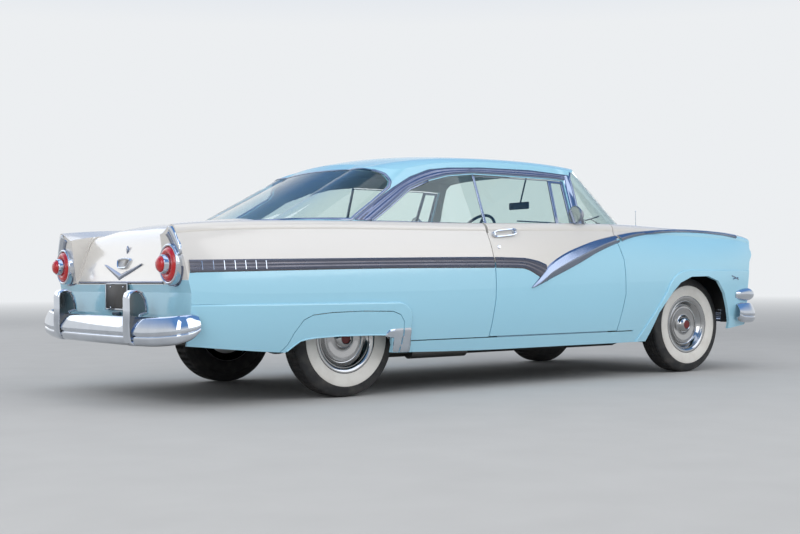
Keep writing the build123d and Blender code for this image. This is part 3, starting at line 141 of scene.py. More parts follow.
class NodeBoard:
    """One material's node tree, built by short calls."""

    def __init__(self, name: str) -> None:
        """Starts a material with its shader.

        Args:
            name: The material's name.
        """
        self.material = bpy.data.materials.new(name)
        self.material.use_nodes = True
        self.tree = self.material.node_tree
        self.shader = self.tree.nodes["Principled BSDF"]
        self.output = self.tree.nodes["Material Output"]
        coordinates = self.tree.nodes.new("ShaderNodeTexCoord").outputs
        self.place, self.normal = coordinates["Object"], coordinates["Normal"]

    def add(self, kind: str, inputs: dict | None = None, **settings) -> bpy.types.Node:
        """Adds a node.

        Args:
            kind: The node's type, without its ShaderNode prefix.
            inputs: Constants or sockets for the node's inputs, by name or number.
            **settings: The node's own properties.

        Returns:
            The new node.
        """
        node = self.tree.nodes.new("ShaderNode" + kind)
        for name, value in settings.items():
            setattr(node, name, value)
        self.feed(node, inputs or {})
        return node

    def feed(self, node: bpy.types.Node, inputs: dict) -> None:
        """Gives constants or sockets to a node's inputs.

        Args:
            node: The node.
            inputs: Constants or sockets, by name or number.
        """
        for name, value in inputs.items():
            socket = node.inputs[name]
            if isinstance(value, Socket):
                self.tree.links.new(value, socket)
            elif isinstance(value, tuple) and len(value) == 3 and len(socket.default_value) == 4:
                socket.default_value = (*value, 1.0)
            else:
                socket.default_value = value

    def noise(self, scale: float, detail: float = 3.0) -> Socket:
        """Noise on the object's coordinates."""
        return self.add("TexNoise", {"Vector": self.place, "Scale": scale, "Detail": detail}).outputs["Fac"]

    def bands(self, scale: float, way: str) -> Socket:
        """Even bands across one of the object's axes."""
        return self.add("TexWave", {"Vector": self.place, "Scale": scale}, bands_direction=way).outputs["Fac"]

    def math(self, operation: str, a: Value, b: Value = 0.0) -> Socket:
        """A sum of two numbers or sockets."""
        return self.add("Math", {0: a, 1: b}, operation=operation).outputs[0]

    def mix(self, factor: Value, a: Value, b: Value) -> Socket:
        """A colour between two."""
        return self.add("MixRGB", {"Fac": factor, "Color1": a, "Color2": b}).outputs[0]

    def shaded(self, colour: Value, shade: Value) -> Socket:
        """A colour multiplied by a shade."""
        node = self.add("Mix", {"Factor": 1.0, 6: colour, 7: shade}, data_type="RGBA", blend_type="MULTIPLY")
        return node.outputs[2]

    def fade(self, factor: Value, low: float, high: float, a: Value, b: Value) -> Socket:
        """Turns one range of numbers into another, held at its ends."""
        return self.add("MapRange", {0: factor, 1: low, 2: high, 3: a, 4: b}, clamp=True).outputs[0]

    def bump(self, height: Value, strength: float, distance: float) -> Socket:
        """Small relief for the shader's normal."""
        return self.add("Bump", {"Height": height, "Strength": strength, "Distance": distance}).outputs[0]

    def axes(self, vector: Socket | None = None) -> tuple:
        """The three numbers of a vector, which is the object's own place if none is given."""
        outputs = self.add("SeparateXYZ", {0: vector or self.place}).outputs
        return outputs[0], outputs[1], outputs[2]


@dataclass(frozen=True)
class Enamel:
    """Gloss car paint with a thin film of dust low down, and cloth or vinyl on a panel's inner side."""

    name: str
    colour: Colour
    inner: Colour | None = None
    core_z: float = 0.9
    flat: bool = False
    dust: Colour = (0.50, 0.50, 0.48)
    dust_z: Pair = (0.22, 0.5)
    dust_share: float = 0.12
    rough: Pair = (0.20, 0.26)
    lining_rough: float = 0.8
    coat_rough: float = 0.10

    def tint(self, board: NodeBoard) -> Value:
        """The paint's colour or its socket."""
        return self.colour

    def inside(self, board: NodeBoard) -> Socket:
        """Tells the faces that look at the car's middle, with one, from the rest, with nought.

        Args:
            board: The material's nodes.

        Returns:
            The socket.
        """
        _, y, z = board.axes()
        _, facing_y, facing_z = board.axes(board.normal)
        across = board.math("MULTIPLY", y, facing_y)
        if self.flat:
            return board.fade(across, -0.35, -0.30, 1.0, 0.0)
        up = board.math("MULTIPLY", board.math("SUBTRACT", z, self.core_z), facing_z)
        return board.fade(board.math("ADD", across, up), -0.16, -0.13, 1.0, 0.0)

    def build(self) -> Material:
        """Makes the material.

        Returns:
            The material.
        """
        board = NodeBoard(self.name)
        cloud = board.noise(1.7, 4.0)
        low = board.math("MULTIPLY", board.fade(board.axes()[2], *self.dust_z, self.dust_share, 0.0), cloud)
        base = board.mix(low, self.tint(board), self.dust)
        paint = board.shaded(base, board.fade(cloud, 0.3, 0.7, 0.985, 1.0))
        rough = board.fade(board.noise(24.0, 3.0), 0.35, 0.75, *self.rough)
        if self.inner:
            within = self.inside(board)
            grain = board.fade(board.noise(240.0, 2.0), 0.35, 0.65, 0.9, 1.0)
            paint = board.mix(within, paint, board.shaded(self.inner, grain))
            rough = board.math("MAXIMUM", rough, board.math("MULTIPLY", within, self.lining_rough))
        board.feed(board.shader, {
            "Base Color": paint, "Roughness": rough, "Coat Weight": 1.0 if not self.inner else 0.5,
            "Coat Roughness": self.coat_rough, "Specular IOR Level": 0.5,
        })
        return board.material


@dataclass(frozen=True)
class TwoToneEnamel(Enamel):
    """Gloss paint in two colours that meet on a line seen from the side."""

    upper: Colour = (0.78, 0.77, 0.73)
    line: Table = ((-1.0, 0.0), (1.0, 0.0))
    tail_half: float = 0.690
    blur: float = 0.0008

    def tint(self, board: NodeBoard) -> Value:
        """Mixes the upper colour above the line and the lower one under it.

        Args:
            board: The material's nodes.

        Returns:
            The socket.
        """
        x, y, z = board.axes()
        low_x, high_x = self.line[0][0], self.line[-1][0]
        low_z, high_z = min(p[1] for p in self.line), max(p[1] for p in self.line)
        curve = board.add("FloatCurve", {"Value": board.fade(x, low_x, high_x, 0.0, 1.0)})
        points = curve.mapping.curves[0].points
        for line_x, _ in self.line[1:-1]:
            points.new((line_x - low_x) / (high_x - low_x), 0.5)
        for point, (_, line_z) in zip(points, self.line):
            point.location.y = (line_z - low_z) / (high_z - low_z)
            point.handle_type = "VECTOR"
        curve.mapping.update()
        side_edge = board.fade(curve.outputs[0], 0.0, 1.0, low_z, high_z)
        middle = board.fade(board.math("ABSOLUTE", y), self.tail_half, self.tail_half + 0.001, 1.0, 0.0)
        edge = board.fade(middle, 0.0, 1.0, side_edge, self.line[0][1])
        above = board.fade(board.math("SUBTRACT", z, edge), -self.blur, self.blur, 0.0, 1.0)
        return board.mix(above, self.colour, self.upper)


@dataclass(frozen=True)
class BrightMetal:
    """Polished or ribbed bright metal with faint smears."""

    name: str
    colour: Colour = (0.74, 0.76, 0.79)
    rough: float = 0.06
    smear: float = 0.06

    def build(self) -> Material:
        """Makes the material.

        Returns:
            The material.
        """
        board = NodeBoard(self.name)
        cloud = board.noise(9.0, 6.0)
        rough = board.fade(cloud, 0.4, 0.8, self.rough, self.rough + self.smear)
        dull = tuple(c * 0.9 for c in self.colour)
        base = board.mix(board.fade(cloud, 0.3, 0.7, 0.0, 1.0), self.colour, dull)
        board.feed(board.shader, {"Base Color": base, "Metallic": 1.0, "Roughness": rough})
        return board.material


@dataclass(frozen=True)
class WindowPane:
    """Clear glass with a faint tint, which lets the lamps through."""

    name: str
    colour: Colour = (0.80, 0.89, 0.86)

    def build(self) -> Material:
        """Makes the material.

        Returns:
            The material.
        """
        board = NodeBoard(self.name)
        film = board.fade(board.noise(5.0, 5.0), 0.45, 0.9, 0.0, 0.012)
        board.feed(board.shader, {
            "Base Color": self.colour, "Roughness": film, "Transmission Weight": 1.0, "IOR": 1.06,
            "Coat Weight": 0.8, "Coat Roughness": 0.0, "Coat IOR": 1.45,
        })
        clear = board.add("BsdfTransparent", {"Color": self.colour})
        shadow = board.add("LightPath").outputs["Is Shadow Ray"]
        both = board.add("MixShader", {0: shadow, 1: board.shader.outputs[0], 2: clear.outputs[0]})
        board.feed(board.output, {"Surface": both.outputs[0]})
        return board.material


@dataclass(frozen=True)
class Rubber:
    """Matt rubber with fine grain and a little road dust."""

    name: str
    colour: Colour = (0.022, 0.022, 0.023)
    dust: Colour = (0.12, 0.11, 0.10)
    rough: float = 0.75

    def build(self) -> Material:
        """Makes the material.

        Returns:
            The material.
        """
        board = NodeBoard(self.name)
        cloud = board.fade(board.noise(14.0, 6.0), 0.45, 0.8, 0.0, 0.5)
        base = board.mix(cloud, self.colour, self.dust)
        grain = board.bump(board.noise(260.0, 4.0), 0.25, 0.0006)
        board.feed(board.shader, {"Base Color": base, "Roughness": self.rough, "Normal": grain})
        return board.material


@dataclass(frozen=True)
class Lens:
    """Moulded lamp plastic or glass, with fine flutes inside and, if asked, a faint painted glow."""

    name: str
    colour: Colour
    glow: float = 0.0
    clear: float = 0.35
    flutes: float = 90.0

    def build(self) -> Material:
        """Makes the material.

        Returns:
            The material.
        """
        board = NodeBoard(self.name)
        wave = board.bands(self.flutes, "Y")
        deep = tuple(c * 0.55 for c in self.colour)
        base = board.mix(wave, self.colour, deep)
        # The emission is a painted glow that makes the lens look brighter.
        board.feed(board.shader, {
            "Base Color": base, "Roughness": board.fade(board.noise(30.0), 0.3, 0.7, 0.04, 0.12),
            "Normal": board.bump(wave, 0.25, 0.001), "Transmission Weight": self.clear, "IOR": 1.49,
            "Emission Color": self.colour, "Emission Strength": self.glow, "Coat Weight": 0.6,
        })
        return board.material


@dataclass(frozen=True)
class Vinyl:
    """Seat vinyl or moulded trim with a leather grain and soft wear."""

    name: str
    colour: Colour
    rough: float = 0.42
    grain: float = 190.0

    def build(self) -> Material:
        """Makes the material.

        Returns:
            The material.
        """
        board = NodeBoard(self.name)
        cell = board.add("TexVoronoi", {"Vector": board.place, "Scale": self.grain}).outputs["Distance"]
        worn = board.fade(board.noise(6.0, 5.0), 0.35, 0.75, 0.0, 0.35)
        base = board.mix(worn, self.colour, tuple(c * 0.8 for c in self.colour))
        board.feed(board.shader, {
            "Base Color": base, "Roughness": board.fade(worn, 0.0, 0.35, self.rough, self.rough + 0.15),
            "Normal": board.bump(cell, 0.35, 0.0008),
        })
        return board.material


@dataclass(frozen=True)
class Woven:
    """Cloth or carpet with a woven or tufted bump."""

    name: str
    colour: Colour
    other: Colour
    count: float = 260.0

    def build(self) -> Material:
        """Makes the material.

        Returns:
            The material.
        """
        board = NodeBoard(self.name)
        weave = board.math("MULTIPLY", board.bands(self.count, "Y"), board.bands(self.count, "X"))
        base = board.mix(board.math("MULTIPLY", weave, board.noise(40.0)), self.colour, self.other)
        board.feed(board.shader, {
            "Base Color": base, "Roughness": 0.9, "Normal": board.bump(weave, 0.5, 0.001),
            "Sheen Weight": 0.3, "Sheen Roughness": 0.5,
        })
        return board.material


@dataclass(frozen=True)
class Underseal:
    """Dark coated or cast metal under the car, with dust and rust in it."""

    name: str
    colour: Colour = (0.018, 0.018, 0.019)
    dust: Colour = (0.10, 0.085, 0.07)
    rough: float = 0.6
    metal: float = 0.0

    def build(self) -> Material:
        """Makes the material.

        Returns:
            The material.
        """
        board = NodeBoard(self.name)
        cloud = board.noise(7.0, 7.0)
        base = board.mix(board.fade(cloud, 0.5, 0.85, 0.0, 0.7), self.colour, self.dust)
        relief = board.bump(board.noise(110.0, 5.0), 0.3, 0.001)
        board.feed(board.shader, {
            "Base Color": base, "Roughness": board.fade(cloud, 0.3, 0.8, self.rough, self.rough + 0.2),
            "Metallic": self.metal, "Normal": relief,
        })
        return board.material


class FinishBook:
    """All the car's finishes, each built once and given out by name."""

    BLUE: Colour = (0.36, 0.69, 0.86)
    WHITE: Colour = (0.74, 0.71, 0.67)
    LINE = (
        (-2.40, 0.664), (-2.336, 0.664), (-2.328, 0.752), (-2.0, 0.768), (-1.131, 0.778), (-0.301, 0.783),
        (-0.04, 0.778), (0.114, 0.730), (0.20, 0.728), (0.328, 0.785), (0.50, 0.835), (0.632, 0.888),
        (0.853, 0.941), (1.06, 0.981), (1.377, 1.006), (1.706, 1.014), (2.163, 0.985), (2.34, 0.965),
    )

    def __init__(self) -> None:
        """Builds every finish."""
        recipes = [
            Enamel("blue_enamel", self.BLUE),
            Enamel("roof_enamel", self.BLUE, inner=(0.34, 0.38, 0.36)),
            Enamel("white_enamel", self.WHITE),
            TwoToneEnamel("two_tone_enamel", self.BLUE, upper=self.WHITE, line=self.LINE),
            TwoToneEnamel("door_enamel", self.BLUE, inner=(0.36, 0.52, 0.52), flat=True, upper=self.WHITE,
                          line=self.LINE),
            BrightMetal("chrome_plate", (0.66, 0.70, 0.76), 0.05),
            BrightMetal("wheel_chrome_plate", (0.46, 0.46, 0.46), 0.09),
            BrightMetal("grey_stainless", (0.20, 0.19, 0.205), 0.26, 0.10),
            BrightMetal("rail_stainless", (0.20, 0.22, 0.30), 0.22, 0.08),
            BrightMetal("spear_stainless", (0.30, 0.34, 0.42), 0.14, 0.06),
            BrightMetal("frame_stainless", (0.30, 0.33, 0.40), 0.18, 0.08),
            # Dark chrome for sunk hollows: painted shade.
            BrightMetal("dark_chrome", (0.20, 0.20, 0.20), 0.16, 0.1),
            BrightMetal("dull_steel", (0.22, 0.21, 0.20), 0.42, 0.2),
            WindowPane("window_pane"),
            Rubber("tread_rubber"),
            Rubber("white_rubber", (0.76, 0.74, 0.70), (0.58, 0.54, 0.50), 0.5),
            Rubber("seal_rubber", (0.015, 0.015, 0.016), (0.03, 0.03, 0.03), 0.6),
            # The red lens's faint emission is a painted glow.
            Lens("red_lens", (0.62, 0.006, 0.008), 0.10, 0.10),
            Lens("clear_lens", (0.90, 0.91, 0.90), 0.0, 0.75, 60.0),
            Vinyl("pale_vinyl", (0.60, 0.66, 0.58)),
            Vinyl("blue_vinyl", (0.20, 0.42, 0.52)),
            Vinyl("dark_trim", (0.02, 0.05, 0.08), 0.35),
            Vinyl("red_disc", (0.16, 0.012, 0.012), 0.3),
            Vinyl("plate_enamel", (0.045, 0.042, 0.040), 0.35, 30.0),
            Woven("seat_cloth", (0.16, 0.34, 0.40), (0.42, 0.56, 0.56)),
            Woven("floor_carpet", (0.035, 0.09, 0.12), (0.06, 0.14, 0.18), 120.0),
            Underseal("black_underseal"),
            Underseal("cast_grey", (0.11, 0.11, 0.12), (0.16, 0.12, 0.09), 0.55, 0.7),
            Underseal("engine_paint", (0.06, 0.10, 0.14), (0.10, 0.09, 0.08), 0.45, 0.2),
        ]
        self._made = {recipe.name: recipe.build() for recipe in recipes}

    def __getitem__(self, name: str) -> Material:
        """The finish of that name."""
        return self._made[name]


# Mesh work


class Shape:
    """A mesh in the making, with the few moves that the car's pieces are built from."""

    def __init__(self) -> None:
        """Starts empty."""
        self.bm = bmesh.new()

    def chain(self, points: Sequence[Vector], closed: bool = False) -> list:
        """Adds a few vertices joined by edges.

        Args:
            points: Where the vertices stand.
            closed: Whether the last joins the first.

        Returns:
            The new edges.
        """
        made = [self.bm.verts.new(p) for p in points]
        ends = list(zip(made, made[1:])) + ([(made[-1], made[0])] if closed else [])
        return [self.bm.edges.new(pair) for pair in ends]

    def turn(self, profile: Table, centre: Vector, axis: Vector, steps: int = 72) -> None:
        """Turns a profile of radius and offset pairs about an axis through a centre.

        Args:
            profile: Radius and offset pairs.
            centre: A point on the axis.
            axis: The axis.
            steps: Facets of a full turn.
        """
        axis = axis.normalized()
        out = axis.orthogonal().normalized()
        points = [centre + out * r + axis * w for r, w in profile]
        edges = self.chain(points)
        verts = list({v for e in edges for v in e.verts})
        bmesh.ops.spin(self.bm, geom=verts + edges, cent=centre, axis=axis, angle=math.tau, steps=steps,
                       use_merge=True, use_duplicate=False)
        bmesh.ops.remove_doubles(self.bm, verts=self.bm.verts, dist=0.00002)

    def sweep(self, section: Table, path: Path, closed: bool = False) -> None:
        """Carries a closed section along a path.

        Args:
            section: Pairs of offsets, across the path and out along each point's normal.
            path: Points with the outward normal at each.
            closed: Whether the path joins up.
        """
        def stand(index: int) -> list[Vector]:
            """The section's points at one step of the path."""
            point, normal = path[index]
            before = path[index - 1][0] if index or closed else point
            after = path[(index + 1) % len(path)][0] if index + 1 < len(path) or closed else point
            along = (after - before).normalized()
            across = along.cross(normal).normalized()
            up = across.cross(along).normalized()
            return [point + across * a + up * b for a, b in section]

        first = self.chain(stand(0), closed=True)
        ring = first
        for index in range(1, len(path)):
            made = bmesh.ops.extrude_edge_only(self.bm, edges=ring)["geom"]
            verts = [g for g in made if isinstance(g, bmesh.types.BMVert)]
            ring = [g for g in made if isinstance(g, bmesh.types.BMEdge)
                    and all(v in verts for v in g.verts)]
            ordered = self._in_order(verts, stand(index - 1))
            for vert, place in zip(ordered, stand(index)):
                vert.co = place
        if closed:
            bmesh.ops.bridge_loops(self.bm, edges=first + ring)
        else:
            bmesh.ops.holes_fill(self.bm, edges=first, sides=0)
            bmesh.ops.holes_fill(self.bm, edges=ring, sides=0)

    @staticmethod
    def _in_order(verts: list, places: list[Vector]) -> list:
        """Sorts new ring vertices to match the section's own order.

        Args:
            verts: The vertices.
            places: Where the section's points stood.

        Returns:
            The vertices in order.
        """
        ordered = []
        for place in places:
            ordered.append(min((v for v in verts if v not in ordered), key=lambda v: (v.co - place).length))
        return ordered

    def drape(self, along: int, across: int, place: Place, thickness: float = 0.0) -> None:
        """Lays a grid on a surface.

        Args:
            along: Steps in the first direction.
            across: Steps in the second direction.
            place: Gives the point for two shares from 0 to 1.
            thickness: How thick the sheet becomes, away from its normals.
        """
        made = bmesh.ops.create_grid(self.bm, x_segments=along, y_segments=across, size=1.0)["verts"]
        for v in made:
            v.co = place((v.co.x + 1) / 2, (v.co.y + 1) / 2)
        if thickness:
            faces = list({f for v in made for f in v.link_faces})
            bmesh.ops.solidify(self.bm, geom=faces, thickness=thickness)

    def block(self, low: Triple, high: Triple, round_by: float = 0.0, segments: int = 3) -> None:
        """Adds a block between two corners, with rounded edges if asked.

        Args:
            low: The lower corner.
            high: The upper corner.
            round_by: How far the edges are rounded.
            segments: Facets of a rounded edge.
        """
        size = Vector(high) - Vector(low)
        middle = (Vector(high) + Vector(low)) / 2
        matrix = Matrix.Translation(middle) @ Matrix.Diagonal((*size, 1.0))
        made = bmesh.ops.create_cube(self.bm, size=1.0, matrix=matrix)["verts"]
        if round_by:
            self.rounded(list({e for v in made for e in v.link_edges}), round_by, segments)

    def rounded(self, edges: list, offset: float, segments: int) -> None:
        """Rounds some edges."""
        bmesh.ops.bevel(self.bm, geom=edges, offset=offset, segments=segments, affect="EDGES", profile=0.5,
                        material=-1)

    def slab(self, outline: Sequence[Vector], shift: Vector) -> list:
        """Makes a plate from a closed outline.

        Args:
            outline: The closed outline.
            shift: The way to the far side.

        Returns:
            Its far face, in a list.
        """
        edges = self.chain(outline, closed=True)
        face = bmesh.ops.contextual_create(self.bm, geom=edges)["faces"][0]
        made = bmesh.ops.extrude_face_region(self.bm, geom=[face])["geom"]
        for v in (g for g in made if isinstance(g, bmesh.types.BMVert)):
            v.co += shift
        return [g for g in made if isinstance(g, bmesh.types.BMFace)]

    def recess(self, faces: list, edge: float, shift: Vector) -> None:
        """Sinks flat faces behind an edge and gives them the second finish.

        Args:
            faces: The faces.
            edge: Width of the edge left round them.
            shift: The way in.
        """
        bmesh.ops.inset_region(self.bm, faces=faces, thickness=edge, use_even_offset=True)
        for face in faces:
            for v in face.verts:
                v.co += shift
            face.material_index = 1

    def bar(self, start: Vector, end: Vector, radius: float, tip: float | None = None,
            sides: int = 20) -> None:
        """Adds a round bar between two points, tapering to a second radius if given.

        Args:
            start: Where it starts.
            end: Where it ends.
            radius: Its radius.
            tip: The radius at its end.
            sides: Facets round it.
        """
        along = end - start
        turn = along.to_track_quat("Z", "Y").to_matrix().to_4x4()
        bmesh.ops.create_cone(self.bm, cap_ends=True, segments=sides, radius1=radius,
                              radius2=radius if tip is None else tip, depth=along.length,
                              matrix=Matrix.Translation((start + end) / 2) @ turn)

    def ball(self, centre: Vector, radius: float, stretch: Triple = (1.0, 1.0, 1.0)) -> None:
        """Adds a ball, stretched along the axes if asked."""
        matrix = Matrix.Translation(centre) @ Matrix.Diagonal((*stretch, 1.0))
        bmesh.ops.create_uvsphere(self.bm, u_segments=28, v_segments=16, radius=radius, matrix=matrix)

    def copy_of(self, node: str) -> None:
        """Starts from a CAD node's own mesh, with its triangles merged.

        Args:
            node: The CAD node's name.
        """
        self.bm.from_mesh(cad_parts[node].data)
        bmesh.ops.remove_doubles(self.bm, verts=self.bm.verts, dist=0.00002)
        bmesh.ops.dissolve_limit(self.bm, angle_limit=math.radians(0.4), verts=self.bm.verts,
                                 edges=self.bm.edges)

    def soften(self, verts: Sequence, factor: float) -> None:
        """Smooths some vertices."""
        bmesh.ops.smooth_vert(self.bm, verts=verts, factor=factor, use_axis_x=True, use_axis_y=True,
                              use_axis_z=True)

    def piece(self, name: str, finish: Material, body: str, slot: str | None = None,
              sharp: float = 32.0, replaces: Sequence[str] = ()) -> bpy.types.Object:
        """Makes the mesh an object that rides on a body.

        Args:
            name: The piece's name.
            finish: Its material.
            body: The CAD body it rides on.
            slot: Not used.
            sharp: Edges that turn by more degrees than this stay sharp.
            replaces: CAD nodes that it stands for.

        Returns:
            The new object.
        """
        bmesh.ops.recalc_face_normals(self.bm, faces=self.bm.faces)
        for face in self.bm.faces:
            face.smooth = True
        for edge in self.bm.edges:
            edge.smooth = len(edge.link_faces) == 2 and edge.calc_face_angle(0.0) < math.radians(sharp)
        mesh = bpy.data.meshes.new(name)
        self.bm.to_mesh(mesh)
        self.bm.free()
        mesh.materials.append(finish)
        thing = bpy.data.objects.new(name, mesh)
        bpy.context.scene.collection.objects.link(thing)
        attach(thing, body)
        if replaces:
            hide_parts(*replaces)
        log.info("%s: %d faces", name, len(mesh.polygons))
        return thing


def mirrored(point: Vector, side: Side) -> Vector:
    """A point found on the right side, on the side asked for."""
    return point if side is Side.RIGHT else Vector((point.x, -point.y, point.z))


class Skin:
    """Finds points on the outside of chosen CAD nodes."""

    def __init__(self, *nodes: str) -> None:
        """Reads the nodes' meshes.

        Args:
            *nodes: The CAD nodes' names.
        """
        bm = bmesh.new()
        for node in nodes:
            bm.from_mesh(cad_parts[node].data)
        self._tree = BVHTree.FromBMesh(bm)
        bm.free()

    def cast(self, start: Vector, way: Vector) -> tuple[Vector, Vector]:
        """Finds the first point met from a start along a way.

        Args:
            start: Where to look from.
            way: The way to look.

        Returns:
            The point and its outward normal.
        """
        hit, normal, _, _ = self._tree.ray_cast(start, way)
        if hit is None:
            hit, normal, _, _ = self._tree.find_nearest(start + way * 2.2)
        if normal.dot(way) > 0:
            normal = -normal
        return hit, normal

    def beside(self, x: float, z: float) -> tuple[Vector, Vector]:
        """The point on the car's right side at an X and Z."""
        return self.cast(Vector((x, -3.0, z)), Vector((0, 1, 0)))

    def trace(self, spots: Table, side: Side, rise: float = 0.0) -> Path:
        """Follows spots along a side of the car.

        Args:
            spots: Pairs of X and Z.
            side: The car's side.
            rise: How far above the skin.

        Returns:
            Points with normals.
        """
        found = [self.beside(x, z) for x, z in spots]
        return [(mirrored(point + normal * rise, side), mirrored(normal, side)) for point, normal in found]

    def above(self, x: float, y: float) -> tuple[Vector, Vector]:
        """The point on the car's top at an X and Y."""
        return self.cast(Vector((x, y, 3.0)), Vector((0, 0, -1)))

    def behind(self, y: float, z: float) -> tuple[Vector, Vector]:
        """The point on the car's tail at a Y and Z."""
        return self.cast(Vector((-4.0, y, z)), Vector((1, 0, 0)))


# The car


@dataclass
class Studio:
    """The floor, the light and the camera."""

    floor: Colour = (0.50, 0.50, 0.50)
    horizon: Colour = (0.84, 0.86, 0.88)
    zenith: Colour = (0.16, 0.34, 0.68)
    camera_at: Triple = (-5.287, -6.764, 0.692)
    yaw: float = math.radians(36.39)
    pitch: float = math.radians(0.49)
    roll: float = math.radians(-0.42)
    focal_px: float = 1238.4
    width_px: float = 800.0

    def build(self) -> None:
        """Makes the stage."""
        self._floor()
        self._world()
        self._lamp("key_lamp", (-9.5, -6.0, 5.5), 6.0, 340.0)
        self._lamp("side_lamp", (4.0, -9.0, 6.0), 7.0, 280.0)
        self._lamp("top_lamp", (-1.0, -1.5, 8.0), 7.0, 120.0)
        self._lamp("far_lamp", (-3.0, 9.0, 6.0), 8.0, 200.0)
        self._camera()

    @staticmethod
    def _seen(tree: bpy.types.NodeTree) -> Socket:
        """Gives one for the rays that show the backdrop: the camera's, reflected and let through.

        Args:
            tree: The node tree.

        Returns:
            The socket.
        """
        path = tree.nodes.new("ShaderNodeLightPath")
        total = path.outputs["Is Camera Ray"]
        for name in ("Is Glossy Ray", "Is Transmission Ray"):
            either = tree.nodes.new("ShaderNodeMath")
            either.operation = "MAXIMUM"
            tree.links.new(total, either.inputs[0])
            tree.links.new(path.outputs[name], either.inputs[1])
            total = either.outputs[0]
        return total

    def _floor(self) -> None:
        """Lays the floor, which keeps the car's shadow and fades into the backdrop far away."""
        board = NodeBoard("studio_floor")
        grain = board.fade(board.noise(3.0, 6.0), 0.3, 0.7, 0.0, 1.0)
        base = board.mix(grain, self.floor, tuple(c * 1.05 for c in self.floor))
        board.feed(board.shader, {"Base Color": base, "Roughness": 0.9, "Specular IOR Level": 0.2})
        reach = board.add("VectorMath", {0: board.place}, operation="LENGTH").outputs["Value"]
        far = board.math("MULTIPLY", board.fade(reach, 7.0, 34.0, 0.0, 1.0), self._seen(board.tree))
        pale = board.add("Emission", {"Color": self.horizon})
        both = board.add("MixShader", {0: far, 1: board.shader.outputs[0], 2: pale.outputs[0]})
        board.feed(board.output, {"Surface": both.outputs[0]})
        bm = bmesh.new()
        bmesh.ops.create_grid(bm, x_segments=1, y_segments=1, size=80.0)
        mesh = bpy.data.meshes.new("studio_floor")
        bm.to_mesh(mesh)
        bm.free()
        mesh.materials.append(board.material)
        thing = bpy.data.objects.new("studio_floor", mesh)
        bpy.context.scene.collection.objects.link(thing)

    def _world(self) -> None:
        """Lights the scene all round, and shows a backdrop that turns from pale to blue overhead."""
        world = bpy.data.worlds.new("studio")
        bpy.context.scene.world = world
        world.use_nodes = True
        tree = world.node_tree
        plain = tree.nodes["Background"]
        plain.inputs["Color"].default_value = (0.94, 0.97, 1.0, 1.0)
        plain.inputs["Strength"].default_value = 0.62
        way = tree.nodes.new("ShaderNodeTexCoord")
        axes = tree.nodes.new("ShaderNodeSeparateXYZ")
        tree.links.new(way.outputs["Generated"], axes.inputs[0])
        ramp = tree.nodes.new("ShaderNodeValToRGB")
        tree.links.new(axes.outputs[2], ramp.inputs[0])
        for index, (place, colour) in enumerate(((0.20, self.horizon), (0.48, self.zenith))):
            stop = ramp.color_ramp.elements[index]
            stop.position, stop.color = place, (*colour, 1.0)
        backdrop = tree.nodes.new("ShaderNodeBackground")
        tree.links.new(ramp.outputs[0], backdrop.inputs["Color"])
        both = tree.nodes.new("ShaderNodeMixShader")
        tree.links.new(self._seen(tree), both.inputs[0])
        tree.links.new(plain.outputs[0], both.inputs[1])
        tree.links.new(backdrop.outputs[0], both.inputs[2])
        tree.links.new(both.outputs[0], tree.nodes["World Output"].inputs["Surface"])

    def _lamp(self, name: str, place: Triple, size: float, power: float) -> None:
        """Hangs a soft lamp that faces the car.

        Args:
            name: The lamp's name.
            place: Where it stands.
            size: Its width in metres.
            power: Its power in watts.
        """
        data = bpy.data.lights.new(name, "AREA")
        data.size = size
        data.energy = power
        lamp = bpy.data.objects.new(name, data)
        lamp.location = place
        lamp.rotation_euler = (Vector((0, 0, 0.6)) - Vector(place)).to_track_quat("-Z", "Y").to_euler()
        bpy.context.scene.collection.objects.link(lamp)

    def _camera(self) -> None:
        """Stands the camera where the photograph was taken from."""
        ahead = Vector((math.sin(self.yaw) * math.cos(self.pitch), math.cos(self.yaw) * math.cos(self.pitch),
                        math.sin(self.pitch)))
        right = Vector((math.cos(self.yaw), -math.sin(self.yaw), 0.0))
        up = right.cross(ahead)
        x_axis = right * math.cos(self.roll) + up * math.sin(self.roll)
        y_axis = up * math.cos(self.roll) - right * math.sin(self.roll)
        turn = Matrix((x_axis, y_axis, -ahead)).transposed().to_4x4()
        data = bpy.data.cameras.new("photo_camera")
        data.sensor_width = 36.0
        data.lens = 36.0 * self.focal_px / self.width_px
        data.clip_start, data.clip_end = 0.05, 200.0
        camera = bpy.data.objects.new("photo_camera", data)
        camera.matrix_world = Matrix.Translation(self.camera_at) @ turn
        bpy.context.scene.collection.objects.link(camera)
        bpy.context.scene.camera = camera
        bpy.context.scene.view_settings.view_transform = "Standard"


@dataclass
class Dress:
    """What every dressed part shares: the finishes, and the way its bright pieces are hung."""

    finishes: FinishBook

    def bright(self, shape: Shape, name: str, finish: str = "chrome_plate", body: str = "body",
               sharp: float = 32.0, replaces: Sequence[str] = ()) -> bpy.types.Object:
        """Hangs a shape as a bright piece; the arguments are those of Shape.piece."""
        return shape.piece(name, self.finishes[finish], body, "bright_chrome", sharp, replaces)


